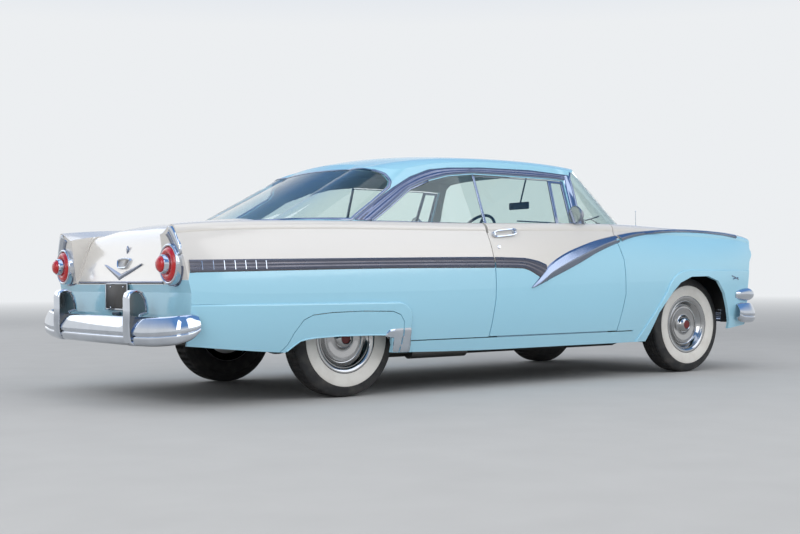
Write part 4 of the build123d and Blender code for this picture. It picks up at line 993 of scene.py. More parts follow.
@dataclass
class BodyShell(Dress):
    """Gives every CAD node that shows its own finish."""

    dress: dict[str, str] = field(default_factory=lambda: {
        "two_tone_enamel": "quarter_panels front_fenders rear_deck",
        "door_enamel": "door_right door_left",
        "roof_enamel": "roof",
        "blue_enamel": "rockers fender_skirts",
        "white_enamel": "trunk_lid hood cowl",
        "window_pane": "door_glass_right door_glass_left quarter_windows windshield rear_window",
        "chrome_plate": "door_fittings_right door_fittings_left rear_bumper front_bumper lamp_rims "
                        "parking_lamps grille",
        "red_lens": "tail_lamps",
        "clear_lens": "headlamp_lenses",
        "pale_vinyl": "front_seat rear_seat",
        "blue_vinyl": "dashboard",
        "dark_trim": "steering_wheel",
        "floor_carpet": "floor_pan",
        "black_underseal": "trunk_floor frame front_aprons rear_axle",
        "cast_grey": "front_suspension knuckle_right knuckle_left",
        "engine_paint": "engine",
        "dull_steel": "exhaust fuel_tank",
        "tread_rubber": "tyre_front_right tyre_front_left tyre_rear_right tyre_rear_left",
        "wheel_chrome_plate": "wheel_front_right wheel_front_left wheel_rear_right wheel_rear_left",
    })

    def build(self) -> None:
        """Assigns the finishes."""
        for finish, nodes in self.dress.items():
            for node in nodes.split():
                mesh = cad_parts[node].data
                mesh.materials.clear()
                mesh.materials.append(self.finishes[finish])


@dataclass
class Tyre(Dress):
    """A tyre with a grooved tread and a wide white wall."""

    radius: float = 0.340
    white_in: float = 0.204
    white_out: float = 0.279
    segments: int = 96
    crown: float = 0.002
    shoulder: float = 0.003
    tread_half: float = 0.061
    groove_deep: float = 0.007
    slot_edge: float = 0.0035
    slot_deep: float = 0.005
    wall: Table = (
        (0.190, 0.060), (0.194, 0.0665), (0.200, 0.0700), (0.204, 0.0722), (0.206, 0.0748), (0.222, 0.0800),
        (0.240, 0.0838), (0.258, 0.0856), (0.272, 0.0852), (0.277, 0.0846), (0.279, 0.0822), (0.284, 0.0822),
        (0.287, 0.0842), (0.298, 0.0826), (0.310, 0.0795), (0.320, 0.0762), (0.328, 0.0725), (0.334, 0.0675),
    )
    grooves: tuple[float, ...] = (0.044, 0.022, 0.0, -0.022, -0.044)

    def build(self, spot: Spot, side: Side) -> None:
        """Makes the tyre of one wheel.

        Args:
            spot: The axle that the wheel is on.
            side: The car's side.
        """
        x, half_track = spot.value
        centre = side.put(x, half_track, self.radius)
        word = f"{spot.name.lower()}_{side.word}"
        shape = Shape()
        outer = [(r, side.value * w) for r, w in self.wall]
        inner = [(r, -side.value * w) for r, w in reversed(self.wall)]
        low = self.radius - self.shoulder
        tread = [(low, side.value * self.tread_half)]
        for middle in self.grooves:
            rise = self.crown * (1 - (middle / self.tread_half) ** 2)
            for step, depth in ((0.0045, 0.0), (0.0035, self.groove_deep), (-0.0035, self.groove_deep),
                                (-0.0045, 0.0)):
                tread.append((low + rise - depth, side.value * (middle + step)))
        tread.append((low, -side.value * self.tread_half))
        profile = outer + tread + inner
        shape.turn(profile + [profile[0]], centre, ACROSS, self.segments)
        self._sipes(shape, centre)
        self._mark_white(shape, centre, side)
        tyre = shape.piece(f"tyre_{word}_dressed", self.finishes["tread_rubber"], f"wheel_{word}",
                           "tyre_rubber", 28.0, [f"tyre_{word}"])
        tyre.data.materials.append(self.finishes["white_rubber"])

    def _sipes(self, shape: Shape, centre: Vector) -> None:
        """Cuts short slots across the ribs of the tread.

        Args:
            shape: The mesh.
            centre: The wheel's centre.
        """
        ribs = []
        for face in shape.bm.faces:
            middle = face.calc_center_median() - centre
            reach = math.hypot(middle.x, middle.z)
            turn = round((math.atan2(middle.z, middle.x) / math.tau) * self.segments - 0.5)
            if reach > self.radius - 0.0045 and abs(middle.y) < 0.062 and turn % 2 == 0:
                if face.calc_area() > 0.00012:
                    ribs.append(face)
        bmesh.ops.inset_individual(shape.bm, faces=ribs, thickness=self.slot_edge, use_even_offset=True)
        for face in ribs:
            for v in face.verts:
                out = v.co - centre
                out.y = 0.0
                v.co -= out.normalized() * self.slot_deep

    def _mark_white(self, shape: Shape, centre: Vector, side: Side) -> None:
        """Gives the outer wall's ring its white rubber.

        Args:
            shape: The mesh.
            centre: The wheel's centre.
            side: The car's side.
        """
        for face in shape.bm.faces:
            middle = face.calc_center_median() - centre
            reach = math.hypot(middle.x, middle.z)
            if self.white_in < reach < self.white_out and middle.y * side.value > 0.03:
                face.material_index = 1


@dataclass
class WheelCover(Dress):
    """A full bright wheel cover: a lipped rim, a dished ring, a flat disc and a domed centre."""

    height: float = 0.340
    profile: Table = (
        (0.0300, 0.0745), (0.0340, 0.0770), (0.0400, 0.0745), (0.0480, 0.0690), (0.0550, 0.0600),
        (0.0600, 0.0505), (0.0640, 0.0440), (0.0690, 0.0410), (0.0760, 0.0405), (0.0900, 0.0425),
        (0.1060, 0.0450), (0.1240, 0.0465), (0.1290, 0.0455), (0.1310, 0.0420), (0.1330, 0.0330),
        (0.1370, 0.0290), (0.1420, 0.0290), (0.1470, 0.0330), (0.1540, 0.0440), (0.1610, 0.0545),
        (0.1670, 0.0610), (0.1700, 0.0600), (0.1725, 0.0600), (0.1760, 0.0650), (0.1840, 0.0705),
        (0.1920, 0.0725), (0.1980, 0.0735), (0.2015, 0.0725), (0.2025, 0.0700), (0.1990, 0.0690),
        (0.1905, 0.0640), (0.1890, 0.0600), (0.1890, -0.0600), (0.1990, -0.0690), (0.2005, -0.0725),
        (0.1960, -0.0735), (0.1800, -0.0600), (0.1760, 0.0000), (0.1500, 0.0150), (0.1500, -0.0500),
        (0.0600, -0.0560), (0.0250, -0.0560),
    )
    disc: Table = (
        (0.0, 0.0745), (0.014, 0.0740), (0.024, 0.0728), (0.0305, 0.0715), (0.031, 0.068), (0.0, 0.068),
    )
    rings: Table = ((0.113, 0.0465), (0.119, 0.0472))

    def build(self, spot: Spot, side: Side) -> None:
        """Makes one wheel's cover with its red centre.

        Args:
            spot: The axle that the wheel is on.
            side: The car's side.
        """
        x, half_track = spot.value
        centre = side.put(x, half_track, self.height)
        word = f"{spot.name.lower()}_{side.word}"
        body = f"wheel_{word}"
        cover = Shape()
        cover.turn([(r, side.value * w) for r, w in self.profile], centre, ACROSS, 96)
        cover.piece(f"wheel_cover_{word}", self.finishes["wheel_chrome_plate"], body, "wheel_chrome", 40.0,
                    [f"wheel_{word}"])
        disc = Shape()
        disc.turn([(r, side.value * w) for r, w in self.disc], centre, ACROSS, 48)
        disc.piece(f"cover_centre_{word}", self.finishes["red_disc"], body, "wheel_chrome")
        self._ribs(centre, side, word, body)

    def _ribs(self, centre: Vector, side: Side, word: str, body: str) -> None:
        """Adds the two fine raised rings of the disc.

        Args:
            centre: The wheel's centre.
            side: The car's side.
            word: The wheel's name.
            body: The CAD body it rides on.
        """
        rings = Shape()
        for radius, out in self.rings:
            section = ((-0.0015, -0.003), (-0.0008, 0.0008), (0.0008, 0.0008), (0.0015, -0.003),
                       (-0.0015, -0.003))
            rings.turn([(radius + a, side.value * (out + b)) for a, b in section], centre, ACROSS, 72)
        rings.piece(f"cover_rings_{word}", self.finishes["wheel_chrome_plate"], body, "wheel_chrome")


@dataclass
class SideTrim(Dress):
    """The ribbed band along the side, its dip into the door and the spear that rises from it."""

    band: Bands = (
        (-2.330, 0.729, 0.794), (-1.131, 0.748, 0.808), (-0.301, 0.751, 0.816), (-0.080, 0.749, 0.813),
        (-0.012, 0.744, 0.811), (0.040, 0.727, 0.805), (0.114, 0.690, 0.790), (0.172, 0.664, 0.770),
    )
    spear: Bands = (
        (0.036, 0.6235, 0.626), (0.075, 0.632, 0.660), (0.150, 0.658, 0.724), (0.200, 0.679, 0.770),
        (0.348, 0.734, 0.841), (0.500, 0.792, 0.890), (0.653, 0.853, 0.930), (0.853, 0.915, 0.967),
        (1.060, 0.964, 0.994), (1.377, 0.995, 1.013), (1.706, 1.000, 1.016), (2.000, 0.986, 1.003),
        (2.163, 0.968, 0.985),
    )
    door_span: Pair = (-0.256, 0.880)
    lean: float = 0.031
    ribs: int = 5
    stand: float = 0.006
    marks: int = 7
    marks_x: float = -2.262
    marks_pitch: float = 0.062

    def build(self) -> None:
        """Lays the bands on both sides of the car."""
        skin = Skin("quarter_panels", "door_right", "front_fenders", "cowl")
        first, last = self.door_span
        runs = (
            ("band", self.band, -2.330, first - 0.010, "body", "side_band_rear"),
            ("band", self.band, first, 0.172, "door", "side_band_door"),
            ("spear", self.spear, 0.036, last, "door", "side_spear_door"),
            ("spear", self.spear, last + 0.022, 2.163, "body", "side_spear_fender"),
        )
        for side in Side:
            for kind, table, x0, x1, body, name in runs:
                shape = Shape()
                steps = max(6, int((x1 - x0) / 0.03))
                shape.drape(steps, 24, self._laid(skin, table, x0, x1, side, kind == "band"), 0.004)
                rider = "body" if body == "body" else f"door_{side.word}"
                finish = "grey_stainless" if kind == "band" else "spear_stainless"
                self.bright(shape, f"{name}_{side.word}", finish, rider, 20.0)
            self._blocks(skin, side)

    def _laid(self, skin: Skin, table: Bands, x0: float, x1: float, side: Side, ribbed: bool) -> Place:
        """Gives the point of a band for shares along and up it.

        Args:
            skin: The skin it lies on.
            table: X, low and high values.
            x0: Where the band starts.
            x1: Where the band ends.
            side: The car's side.
            ribbed: Whether it has ribs.

        Returns:
            The function.
        """
        lows, highs = split(table)

        def place(t: float, u: float) -> Vector:
            """The point at two shares from 0 to 1."""
            start = x0 - (self.lean * u if x0 > self.door_span[1] else 0.0)
            end = x1 - (self.lean * u if x1 == self.door_span[1] else 0.0)
            x = start + (end - start) * t
            low, high = curve_table(lows, x), curve_table(highs, x)
            point, normal = skin.beside(min(max(x, start + 0.016), end - 0.016), low + (high - low) * u)
            point.x = x
            edge = min(u, 1 - u)
            rise = self.stand * min(1.0, edge * 9)
            if ribbed and 0.13 < u < 0.87:
                rise -= 0.0022 * (0.5 + 0.5 * math.cos(math.tau * self.ribs * (u - 0.13) / 0.74))
            elif not ribbed:
                ridge = min(0.011, 0.28 * (high - low))
                rise += ridge * (u / 0.40 if u < 0.40 else (1 - u) / 0.60)
            return mirrored(point + normal * rise, side)

        return place

    def _blocks(self, skin: Skin, side: Side) -> None:
        """Adds the short upright marks near the band's rear end.

        Args:
            skin: The skin it lies on.
            side: The car's side.
        """
        shape = Shape()
        lows, highs = split(self.band)
        for index in range(self.marks):
            x = self.marks_x + index * self.marks_pitch
            low, high = blend_table(lows, x), blend_table(highs, x)
            spots = [(x, low + 0.008 + (high - low - 0.016) * step / 4) for step in range(5)]
            shape.sweep([(-0.003, -0.002), (-0.002, 0.0022), (0.002, 0.0022), (0.003, -0.002)],
                        skin.trace(spots, side, 0.005))
        self.bright(shape, f"band_marks_{side.word}")


@dataclass
class RoofTrim(Dress):
    """The bright rail over the side windows that runs down the rear pillar, and the window frames."""

    inner: Table = (
        (-1.098, 1.030), (-0.944, 1.124), (-0.766, 1.238), (-0.599, 1.299), (-0.433, 1.338), (-0.221, 1.359),
        (0.100, 1.358), (0.436, 1.354), (0.575, 1.347),
    )
    outer: Table = (
        (-1.226, 1.036), (-1.060, 1.140), (-0.888, 1.236), (-0.735, 1.312), (-0.570, 1.366), (-0.413, 1.384),
        (-0.145, 1.397), (0.283, 1.400), (0.620, 1.380),
    )

    def build(self) -> None:
        """Lays the trim on both sides."""
        skin = Skin("roof")
        for side in Side:
            self._rail(skin, side)
            self._reveal(skin, side)

    @staticmethod
    def _at(table: Table, share: float) -> Pair:
        """Finds the point a share of the way along a table's own length.

        Args:
            table: The points.
            share: The share, from 0 to 1.

        Returns:
            Its X and Z.
        """
        runs = [math.dist(a, b) for a, b in zip(table, table[1:])]
        left = share * sum(runs)
        for run, (a, b) in zip(runs, zip(table, table[1:])):
            if left <= run:
                part = left / run
                return a[0] + (b[0] - a[0]) * part, a[1] + (b[1] - a[1]) * part
            left -= run
        return table[-1]

    def _rail(self, skin: Skin, side: Side) -> None:
        """Makes the wide ribbed rail.

        Args:
            skin: The skin it lies on.
            side: The car's side.
        """
        def place(t: float, u: float) -> Vector:
            """The point at two shares from 0 to 1."""
            low, high = self._at(self.inner, t), self._at(self.outer, t)
            x, z = low[0] + (high[0] - low[0]) * u, low[1] + (high[1] - low[1]) * u
            point, normal = skin.beside(x, z)
            rise = 0.007 * min(1.0, min(u, 1 - u) * 8)
            if 0.12 < u < 0.88:
                rise -= 0.0025 * (0.5 + 0.5 * math.cos(math.tau * 2 * (u - 0.12) / 0.76))
            return mirrored(point + normal * rise, side)

        shape = Shape()
        shape.drape(80, 18, place, 0.005)
        self.bright(shape, f"roof_rail_{side.word}", "rail_stainless", sharp=24.0)

    def _reveal(self, skin: Skin, side: Side) -> None:
        """Makes the bright frame along the side windows' upper edge.

        Args:
            skin: The skin it lies on.
            side: The car's side.
        """
        path = skin.trace([self._at(self.inner, step / 60) for step in range(61)], side, 0.002)
        shape = Shape()
        shape.sweep([(-0.006, -0.004), (-0.005, 0.003), (0.0, 0.0055), (0.005, 0.003), (0.006, -0.004)], path)
        self.bright(shape, f"window_reveal_{side.word}", "frame_stainless")


@dataclass
class TailLamp(Dress):
    """A round tail lamp: a red ring, a bright inner ring and a red bullet, under a bright brow."""

    x: float = -2.330
    y: float = 0.745
    z: float = 0.773
    ring: Table = (
        (0.052, 0.010), (0.052, 0.052), (0.057, 0.060), (0.066, 0.064), (0.076, 0.063), (0.085, 0.058),
        (0.091, 0.050), (0.0932, 0.040), (0.0932, 0.010), (0.052, 0.010),
    )
    inner_ring: Table = (
        (0.043, 0.010), (0.043, 0.090), (0.0445, 0.094), (0.0475, 0.094), (0.050, 0.090), (0.0525, 0.064),
        (0.0525, 0.010), (0.043, 0.010),
    )
    bullet: Table = (
        (0.0, 0.010), (0.0425, 0.010), (0.0425, 0.094), (0.0405, 0.1005), (0.035, 0.107), (0.025, 0.1125),
        (0.013, 0.1155), (0.0, 0.1165),
    )
    brow: Table = (
        (0.722, 0.968), (0.738, 0.962), (0.756, 0.948), (0.775, 0.926), (0.795, 0.900), (0.815, 0.872),
        (0.832, 0.846), (0.842, 0.828),
    )
    brow_half: float = 0.027
    strip_reach: float = 0.1145
    probe_x: float = -2.345

    def build(self) -> None:
        """Makes the lamps of both sides, each as pieces that stand for the CAD lenses."""
        rings, bright = Shape(), Shape()
        for side in Side:
            centre = side.put(self.x, self.y, self.z)
            rings.turn(self.ring, centre, BACK, 72)
            rings.turn(self.bullet, centre, BACK, 60)
            bright.turn(self.inner_ring, centre, BACK, 60)
        rings.piece("tail_lens_red", self.finishes["red_lens"], "body", "red_lens", 40.0, ["tail_lamps"])
        self.bright(bright, "tail_lamp_inner_rings")
        skin = Skin("quarter_panels")
        for side in Side:
            self._brow(skin, side)
            self._strip(skin, side)

    def _strip(self, skin: Skin, side: Side) -> None:
        """Carries the lid's lower strip on under the lamp and up its outer side.

        Args:
            skin: The skin it lies on.
            side: The car's side.
        """
        turns = [math.radians(a) for a in range(-104, -5, 7)]
        spots = [(0.604, 0.668), (0.640, 0.667), (0.680, 0.663)]
        reach = self.strip_reach
        spots += [(self.y + reach * math.cos(a), self.z + reach * math.sin(a)) for a in turns]
        way = Vector((0.95, 0.31, 0.0)).normalized()
        path = []
        for y, z in spots:
            point, normal = skin.cast(Vector((self.probe_x, -y, z)) - way, way)
            path.append((mirrored(point, side), mirrored((normal - way).normalized(), side)))
        shape = Shape()
        shape.sweep(STRIP_SECTION, path)
        self.bright(shape, f"tail_strip_{side.word}", "rail_stainless")

    def _brow(self, skin: Skin, side: Side) -> None:
        """Bends the bright hooked brow over the fender's rear end, from its top to the lamp's outer side.

        Args:
            skin: The skin it lies on.
            side: The car's side.
        """
        way = Vector((0.78, 0.62, 0.0)).normalized()
        ys = [(step / (len(self.brow) - 1), y) for step, (y, _) in enumerate(self.brow)]
        zs = [(step / (len(self.brow) - 1), z) for step, (_, z) in enumerate(self.brow)]

        def place(t: float, u: float) -> Vector:
            """The point at two shares from 0 to 1."""
            y, z = blend_table(ys, t), blend_table(zs, t)
            ahead = min(1.0, t + 0.12)
            behind = ahead - 0.24
            run = Vector((0, blend_table(ys, ahead) - blend_table(ys, behind),
                          blend_table(zs, ahead) - blend_table(zs, behind))).normalized()
            off = (2 * u - 1) * self.brow_half * min(1.0, 0.55 + 2.0 * min(t, 1 - t))
            y, z = y - run.z * off, z + run.y * off
            point, normal = skin.cast(Vector((self.probe_x, -y, min(z, 0.9735))) - way, way)
            rise = 0.007 * rim(t, u, 6) + 0.004 * math.sin(math.pi * u)
            return mirrored(point + (normal - way).normalized() * rise, side)

        shape = Shape()
        shape.drape(28, 14, place, 0.004)
        shape.soften(shape.bm.verts, 0.4)
        self.bright(shape, f"fin_brow_{side.word}", sharp=50.0)

        def under(t: float, u: float) -> Vector:
            """The point at two shares from 0 to 1."""
            at = 0.06 + 0.62 * t
            y, z = blend_table(ys, at) - 0.020 - 0.034 * u, blend_table(zs, at) - 0.018 - 0.016 * u
            point, normal = skin.cast(Vector((self.probe_x, -y, z)) - way, way)
            rise = 0.005 * rim(t, u, 6)
            return mirrored(point + (normal - way).normalized() * rise, side)

        lip = Shape()
        lip.drape(24, 8, under, 0.003)
        self.bright(lip, f"fin_brow_lip_{side.word}", "frame_stainless", sharp=50.0)


@dataclass
class PaneFrames(Dress):
    """The bright frames round the glass, laid on each pane's own outer edge."""

    step: float = 0.014
    panes: tuple[tuple[str, str, float, float], ...] = (
        ("quarter_windows", "body", 0.0055, 0.006), ("rear_window", "body", 0.009, 0.0075),
        ("windshield", "body", 0.009, 0.0075), ("door_glass_right", "door_right", 0.0045, 0.004),
        ("door_glass_left", "door_left", 0.0045, 0.004),
    )

    def build(self) -> None:
        """Lays a frame round every pane."""
        for node, body, half, rise in self.panes:
            shape = Shape()
            section = [(-half, -0.002), (-half, rise * 0.6), (-half * 0.5, rise), (half * 0.5, rise),
                       (half, rise * 0.6), (half, -0.002)]
            for loop in self._loops(node):
                shape.sweep(section, loop, closed=True)
            self.bright(shape, f"{node}_frame", "frame_stainless", body, 40.0)

    def _loops(self, node: str) -> list[Path]:
        """Finds the outer edge of each pane of a node, as evenly spaced points with normals.

        Args:
            node: The panes' CAD node.

        Returns:
            Points with normals, pane by pane.
        """
        bm = bmesh.new()
        bm.from_mesh(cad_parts[node].data)
        bmesh.ops.remove_doubles(bm, verts=bm.verts, dist=0.00002)
        outer = set()
        for face in bm.faces:
            middle = face.calc_center_median()
            core = Vector((max(-0.9, min(0.6, middle.x)), 0.0, 0.95))
            if face.normal.dot((middle - core).normalized()) > 0.42:
                outer.add(face)
        after = {}
        for face in (f for f in bm.faces if f in outer):
            for loop in face.loops:
                if sum(f in outer for f in loop.edge.link_faces) == 1:
                    after[loop.vert] = loop.link_loop_next.vert
        found = []
        while after:
            start = next(iter(after))
            ring, vert = [], start
            while vert in after:
                ring.append(vert)
                vert = after.pop(vert)
            if len(ring) > 3:
                faces = [[f.normal for f in v.link_faces if f in outer] for v in ring]
                found.append(self._even([v.co.copy() for v in ring],
                                        [sum(ns, Vector()).normalized() for ns in faces]))
        bm.free()
        return found

    def _even(self, points: list[Vector], normals: list[Vector]) -> Path:
        """Spaces a closed run of points evenly.

        Args:
            points: The points.
            normals: The normal at each point.

        Returns:
            Points with normals.
        """
        count = len(points)
        runs = [(points[(i + 1) % count] - points[i]).length for i in range(count)]
        steps = max(8, round(sum(runs) / self.step))
        gap = sum(runs) / steps
        made, index, passed = [], 0, 0.0
        for step in range(steps):
            while passed + runs[index] < step * gap and index < count - 1:
                passed += runs[index]
                index += 1
            share = min(1.0, (step * gap - passed) / max(runs[index], 1e-9))
            following = (index + 1) % count
            point = points[index].lerp(points[following], share)
            made.append((point, normals[index].lerp(normals[following], share).normalized()))
        return made


@dataclass
class SideDress(Dress):
    """The small bright parts of the sides: pillar covers, gravel shields, skirt beads, locks, badges."""

    shield: Bands = (
        (-1.098, 0.352, 0.362), (-1.074, 0.348, 0.389), (-1.034, 0.345, 0.394), (-1.029, 0.262, 0.394),
        (-0.960, 0.258, 0.397), (-0.912, 0.256, 0.398), (-0.893, 0.256, 0.300),
    )
    bead: Table = (
        (-1.748, 0.290), (-1.712, 0.318), (-1.671, 0.346), (-1.630, 0.354), (-1.578, 0.360), (-1.500, 0.363),
        (-1.415, 0.366), (-1.310, 0.365), (-1.205, 0.364), (-1.096, 0.361),
    )
    pillar_x: Pair = (0.560, 0.628)
    pillar_z: Pair = (1.046, 1.372)

    def build(self) -> None:
        """Makes the parts of both sides."""
        for side in Side:
            self._liner(side)
            self._pillar(side)
            self._shield(side)
            self._bead(side)
            self._lock(side)
            self._badge(side)
            self._pod(side)
            self._mirror_glass(side)

    def _liner(self, side: Side) -> None:
        """Closes the front end of the wheel room with a dark sheet.

        Args:
            side: The car's side.
        """
        shape = Shape()
        low, high = side.put(2.072, 0.50, 0.44), side.put(2.078, 0.872, 0.90)
        shape.block((low.x, min(low.y, high.y), low.z), (high.x, max(low.y, high.y), high.z))
        shape.piece(f"arch_liner_{side.word}", self.finishes["black_underseal"], "body", "black_steel")

    def _pillar(self, side: Side) -> None:
        """Covers the post beside the windshield.

        Args:
            side: The car's side.
        """
        skin = Skin("roof")

        def place(t: float, u: float) -> Vector:
            """The point at two shares from 0 to 1."""
            low, high = self.pillar_z
            x0 = self.pillar_x[0] + 0.018 * t
            point, normal = skin.beside(x0 + (self.pillar_x[1] - x0) * u, low + (high - low) * t)
            rise = 0.005 * min(1.0, min(u, 1 - u) * 7) + 0.002 * math.sin(math.pi * u)
            return mirrored(point + normal * rise, side)

        shape = Shape()
        shape.drape(24, 14, place, 0.004)
        self.bright(shape, f"pillar_cover_{side.word}", "spear_stainless")

    def _shield(self, side: Side) -> None:
        """Lays the bright gravel shield in front of the rear wheel.

        Args:
            side: The car's side.
        """
        skin = Skin("quarter_panels", "fender_skirts", "rockers")
        lows, highs = split(self.shield)

        def place(t: float, u: float) -> Vector:
            """The point at two shares from 0 to 1."""
            x = self.shield[0][0] + (self.shield[-1][0] - self.shield[0][0]) * t
            low, high = blend_table(lows, x), blend_table(highs, x)
            point, normal = skin.beside(x, low + (high - low) * u)
            rise = 0.0045 * rim(t, u, 9)
            return mirrored(point + normal * rise, side)

        shape = Shape()
        shape.drape(40, 18, place, 0.004)
        self.bright(shape, f"gravel_shield_{side.word}")

    def _bead(self, side: Side) -> None:
        """Rolls the bead along the skirt's lower edge.

        Args:
            side: The car's side.
        """
        skin = Skin("fender_skirts")
        shape = Shape()
        shape.sweep([(-0.0045, -0.003), (-0.004, 0.003), (-0.0015, 0.0055), (0.0015, 0.0055), (0.004, 0.003),
                     (0.0045, -0.003)], skin.trace(self.bead, side))
        shape.piece(f"skirt_bead_{side.word}", self.finishes["blue_enamel"], "body", "body_paint", 60.0)

    def _lock(self, side: Side) -> None:
        """Sets the round lock under the door handle.

        Args:
            side: The car's side.
        """
        point, normal = Skin(f"door_{side.word}").cast(side.put(-0.207, 3.0, 0.879), side.put(0, -1, 0))
        shape = Shape()
        shape.turn([(0.0, 0.0055), (0.006, 0.0055), (0.0075, 0.004), (0.0105, 0.004), (0.0125, 0.002),
                    (0.0125, -0.003), (0.0, -0.003)], point, normal, 32)
        self.bright(shape, f"door_lock_{side.word}", "chrome_plate", f"door_{side.word}")

    def _badge(self, side: Side) -> None:
        """Sets the plain dart-shaped ornament at the front of the fender.

        Args:
            side: The car's side.
        """
        skin = Skin("front_fenders")
        shape = Shape()
        for x0, z0, x1, z1 in ((2.008, 0.689, 2.094, 0.662), (2.024, 0.664, 2.086, 0.674)):
            spots = [(x0 + (x1 - x0) * step / 8, z0 + (z1 - z0) * step / 8) for step in range(9)]
            shape.sweep([(-0.0045, -0.002), (-0.003, 0.003), (0.0, 0.005), (0.003, 0.003), (0.0045, -0.002)],
                        skin.trace(spots, side))
        self.bright(shape, f"fender_ornament_{side.word}", "frame_stainless")

    def _pod(self, side: Side) -> None:
        """Wraps the parking lamp's bright pod round the fender's lower front corner.

        Args:
            side: The car's side.
        """
        skin = Skin("front_fenders")

        def place(t: float, u: float) -> Vector:
            """The point at two shares from 0 to 1."""
            x = 2.062 + 0.150 * t
            half = 0.047 * math.sin(math.pi * (0.08 + 0.42 * t)) ** 0.7
            point, normal = skin.beside(x, 0.550 + (2 * u - 1) * half)
            deep = math.sqrt(max(0.0, 1 - (2 * u - 1) ** 2)) * math.sin(math.pi * (0.02 + 0.48 * t)) ** 0.6
            point.y = max(point.y - 0.034 * deep, -0.958)
            return mirrored(point, side)

        shape = Shape()
        shape.drape(24, 16, place, 0.003)
        centre = (place(1.0, 0.0) + place(1.0, 1.0)) / 2
        shape.ball(Vector((2.212, centre.y - side.value * 0.006, 0.550)), 1.0, (0.085, 0.030, 0.047))
        self.bright(shape, f"parking_lamp_pod_{side.word}", sharp=50.0)

    def _mirror_glass(self, side: Side) -> None:
        """Sets the mirror's glass in its round head.

        Args:
            side: The car's side.
        """
        centre = side.put(0.4895, 0.872, 1.098)
        shape = Shape()
        shape.turn([(0.0, 0.0012), (0.052, 0.0012), (0.053, -0.001), (0.0, -0.001)], centre, BACK, 48)
        self.bright(shape, f"mirror_glass_{side.word}", "wheel_chrome_plate", f"door_{side.word}")


@dataclass
class TailDress(Dress):
    """The lid's ornament and lock, the seam strip, and the blank plate."""

    plate_z: Pair = (0.518, 0.670)
    plate_half: float = 0.1525
    plate_x: float = -2.3455
    holes: Triple = (0.089, 0.5295, 0.6505)
    boss: Table = (
        (-0.045, 0.757), (-0.062, 0.764), (-0.078, 0.785), (-0.088, 0.802), (-0.084, 0.812), (-0.068, 0.816),
        (-0.030, 0.819), (0.030, 0.819), (0.068, 0.816), (0.084, 0.812), (0.088, 0.802), (0.078, 0.785),
        (0.062, 0.764), (0.045, 0.757),
    )

    def build(self) -> None:
        """Makes the tail's small parts."""
        self._ornament()
        self._lock()
        self._seam()
        self._plate()

    def _ornament(self) -> None:
        """Lays a plain chevron on the lid, with a plain boss that has rounded corners and a sunk panel
        darkened as painted shade.
        """
        skin = Skin("trunk_lid")
        shape = Shape()
        for sign in (-1, 1):
            def place(t: float, u: float, sign: int = sign) -> Vector:
                """The point at two shares from 0 to 1."""
                half = 0.014 * (1 - t) ** 0.7 + 0.003
                y, z = sign * 0.258 * t, 0.707 + 0.072 * t
                point, normal = skin.behind(y, z + (2 * u - 1) * half)
                return point + normal * (0.002 + 0.007 * math.sin(math.pi * u))

            shape.drape(30, 8, place, 0.003)
        self.bright(shape, "lid_ornament", "frame_stainless", "trunk_lid", 50.0)
        boss = Shape()
        front = boss.slab([skin.behind(y, z)[0] - BACK * 0.004 for y, z in self.boss], BACK * 0.016)
        boss.rounded(list(front[0].edges), 0.003, 3)
        bmesh.ops.recalc_face_normals(boss.bm, faces=boss.bm.faces)
        panel = [max((f for f in boss.bm.faces if f.normal.x < -0.8), key=lambda f: f.calc_area())]
        boss.recess(panel, 0.006, BACK * -0.003)
        badge = self.bright(boss, "lid_ornament_boss", "chrome_plate", "trunk_lid")
        # The boss's sunk panel takes the dark recess chrome: painted shade.
        badge.data.materials.append(self.finishes["dark_chrome"])

    def _lock(self) -> None:
        """Sets the lid's lock with its upright cover."""
        point, normal = Skin("trunk_lid").behind(0.0, 0.862)
        shape = Shape()
        shape.turn([(0.0, 0.004), (0.013, 0.0035), (0.015, -0.003), (0.0, -0.003)], point, normal, 32)
        shape.ball(point + normal * 0.003, 1.0, (0.008, 0.009, 0.027))
        self.bright(shape, "lid_lock", "frame_stainless", "trunk_lid")

    def _seam(self) -> None:
        """Lays the bright strip on the lid's lower edge."""
        skin = Skin("trunk_lid")
        path = [skin.behind(-0.590 + 1.18 * step / 24, 0.676) for step in range(25)]
        shape = Shape()
        shape.sweep(STRIP_SECTION, path)
        self.bright(shape, "lid_edge_strip", "rail_stainless", "trunk_lid")

    def _plate(self) -> None:
        """Makes the blank plate, its bright edge, its screws and the pull under it."""
        low, high = self.plate_z
        plate = Shape()
        half, thick = self.plate_half, 0.0012
        plate.block((self.plate_x - thick, -half, low), (self.plate_x + thick, half, high), 0.0011, 2)
        plate.piece("blank_plate", self.finishes["plate_enamel"], "body")
        edge = Shape()
        for y0, y1, z0, z1 in (
            (-half, half, low - 0.003, low + 0.006), (-half, half, high - 0.006, high + 0.003),
            (-half - 0.003, -half + 0.006, low, high), (half - 0.006, half + 0.003, low, high),
        ):
            edge.block((self.plate_x - 0.005, y0, z0), (self.plate_x - thick, y1, z1), 0.0015, 2)
        across, z0, z1 = self.holes
        for y in (-across, across):
            for z in (z0, z1):
                edge.turn([(0.0, 0.004), (0.004, 0.0035), (0.0055, 0.001), (0.0, 0.001)],
                          Vector((self.plate_x, y, z)), BACK, 20)
        self.bright(edge, "plate_edge")
        pull = Shape()
        pull.block((self.plate_x - 0.012, -0.045, 0.486), (self.plate_x + 0.010, 0.045, 0.504), 0.005, 3)
        pull.piece("plate_pull", self.finishes["dark_trim"], "body", "dark_plastic")


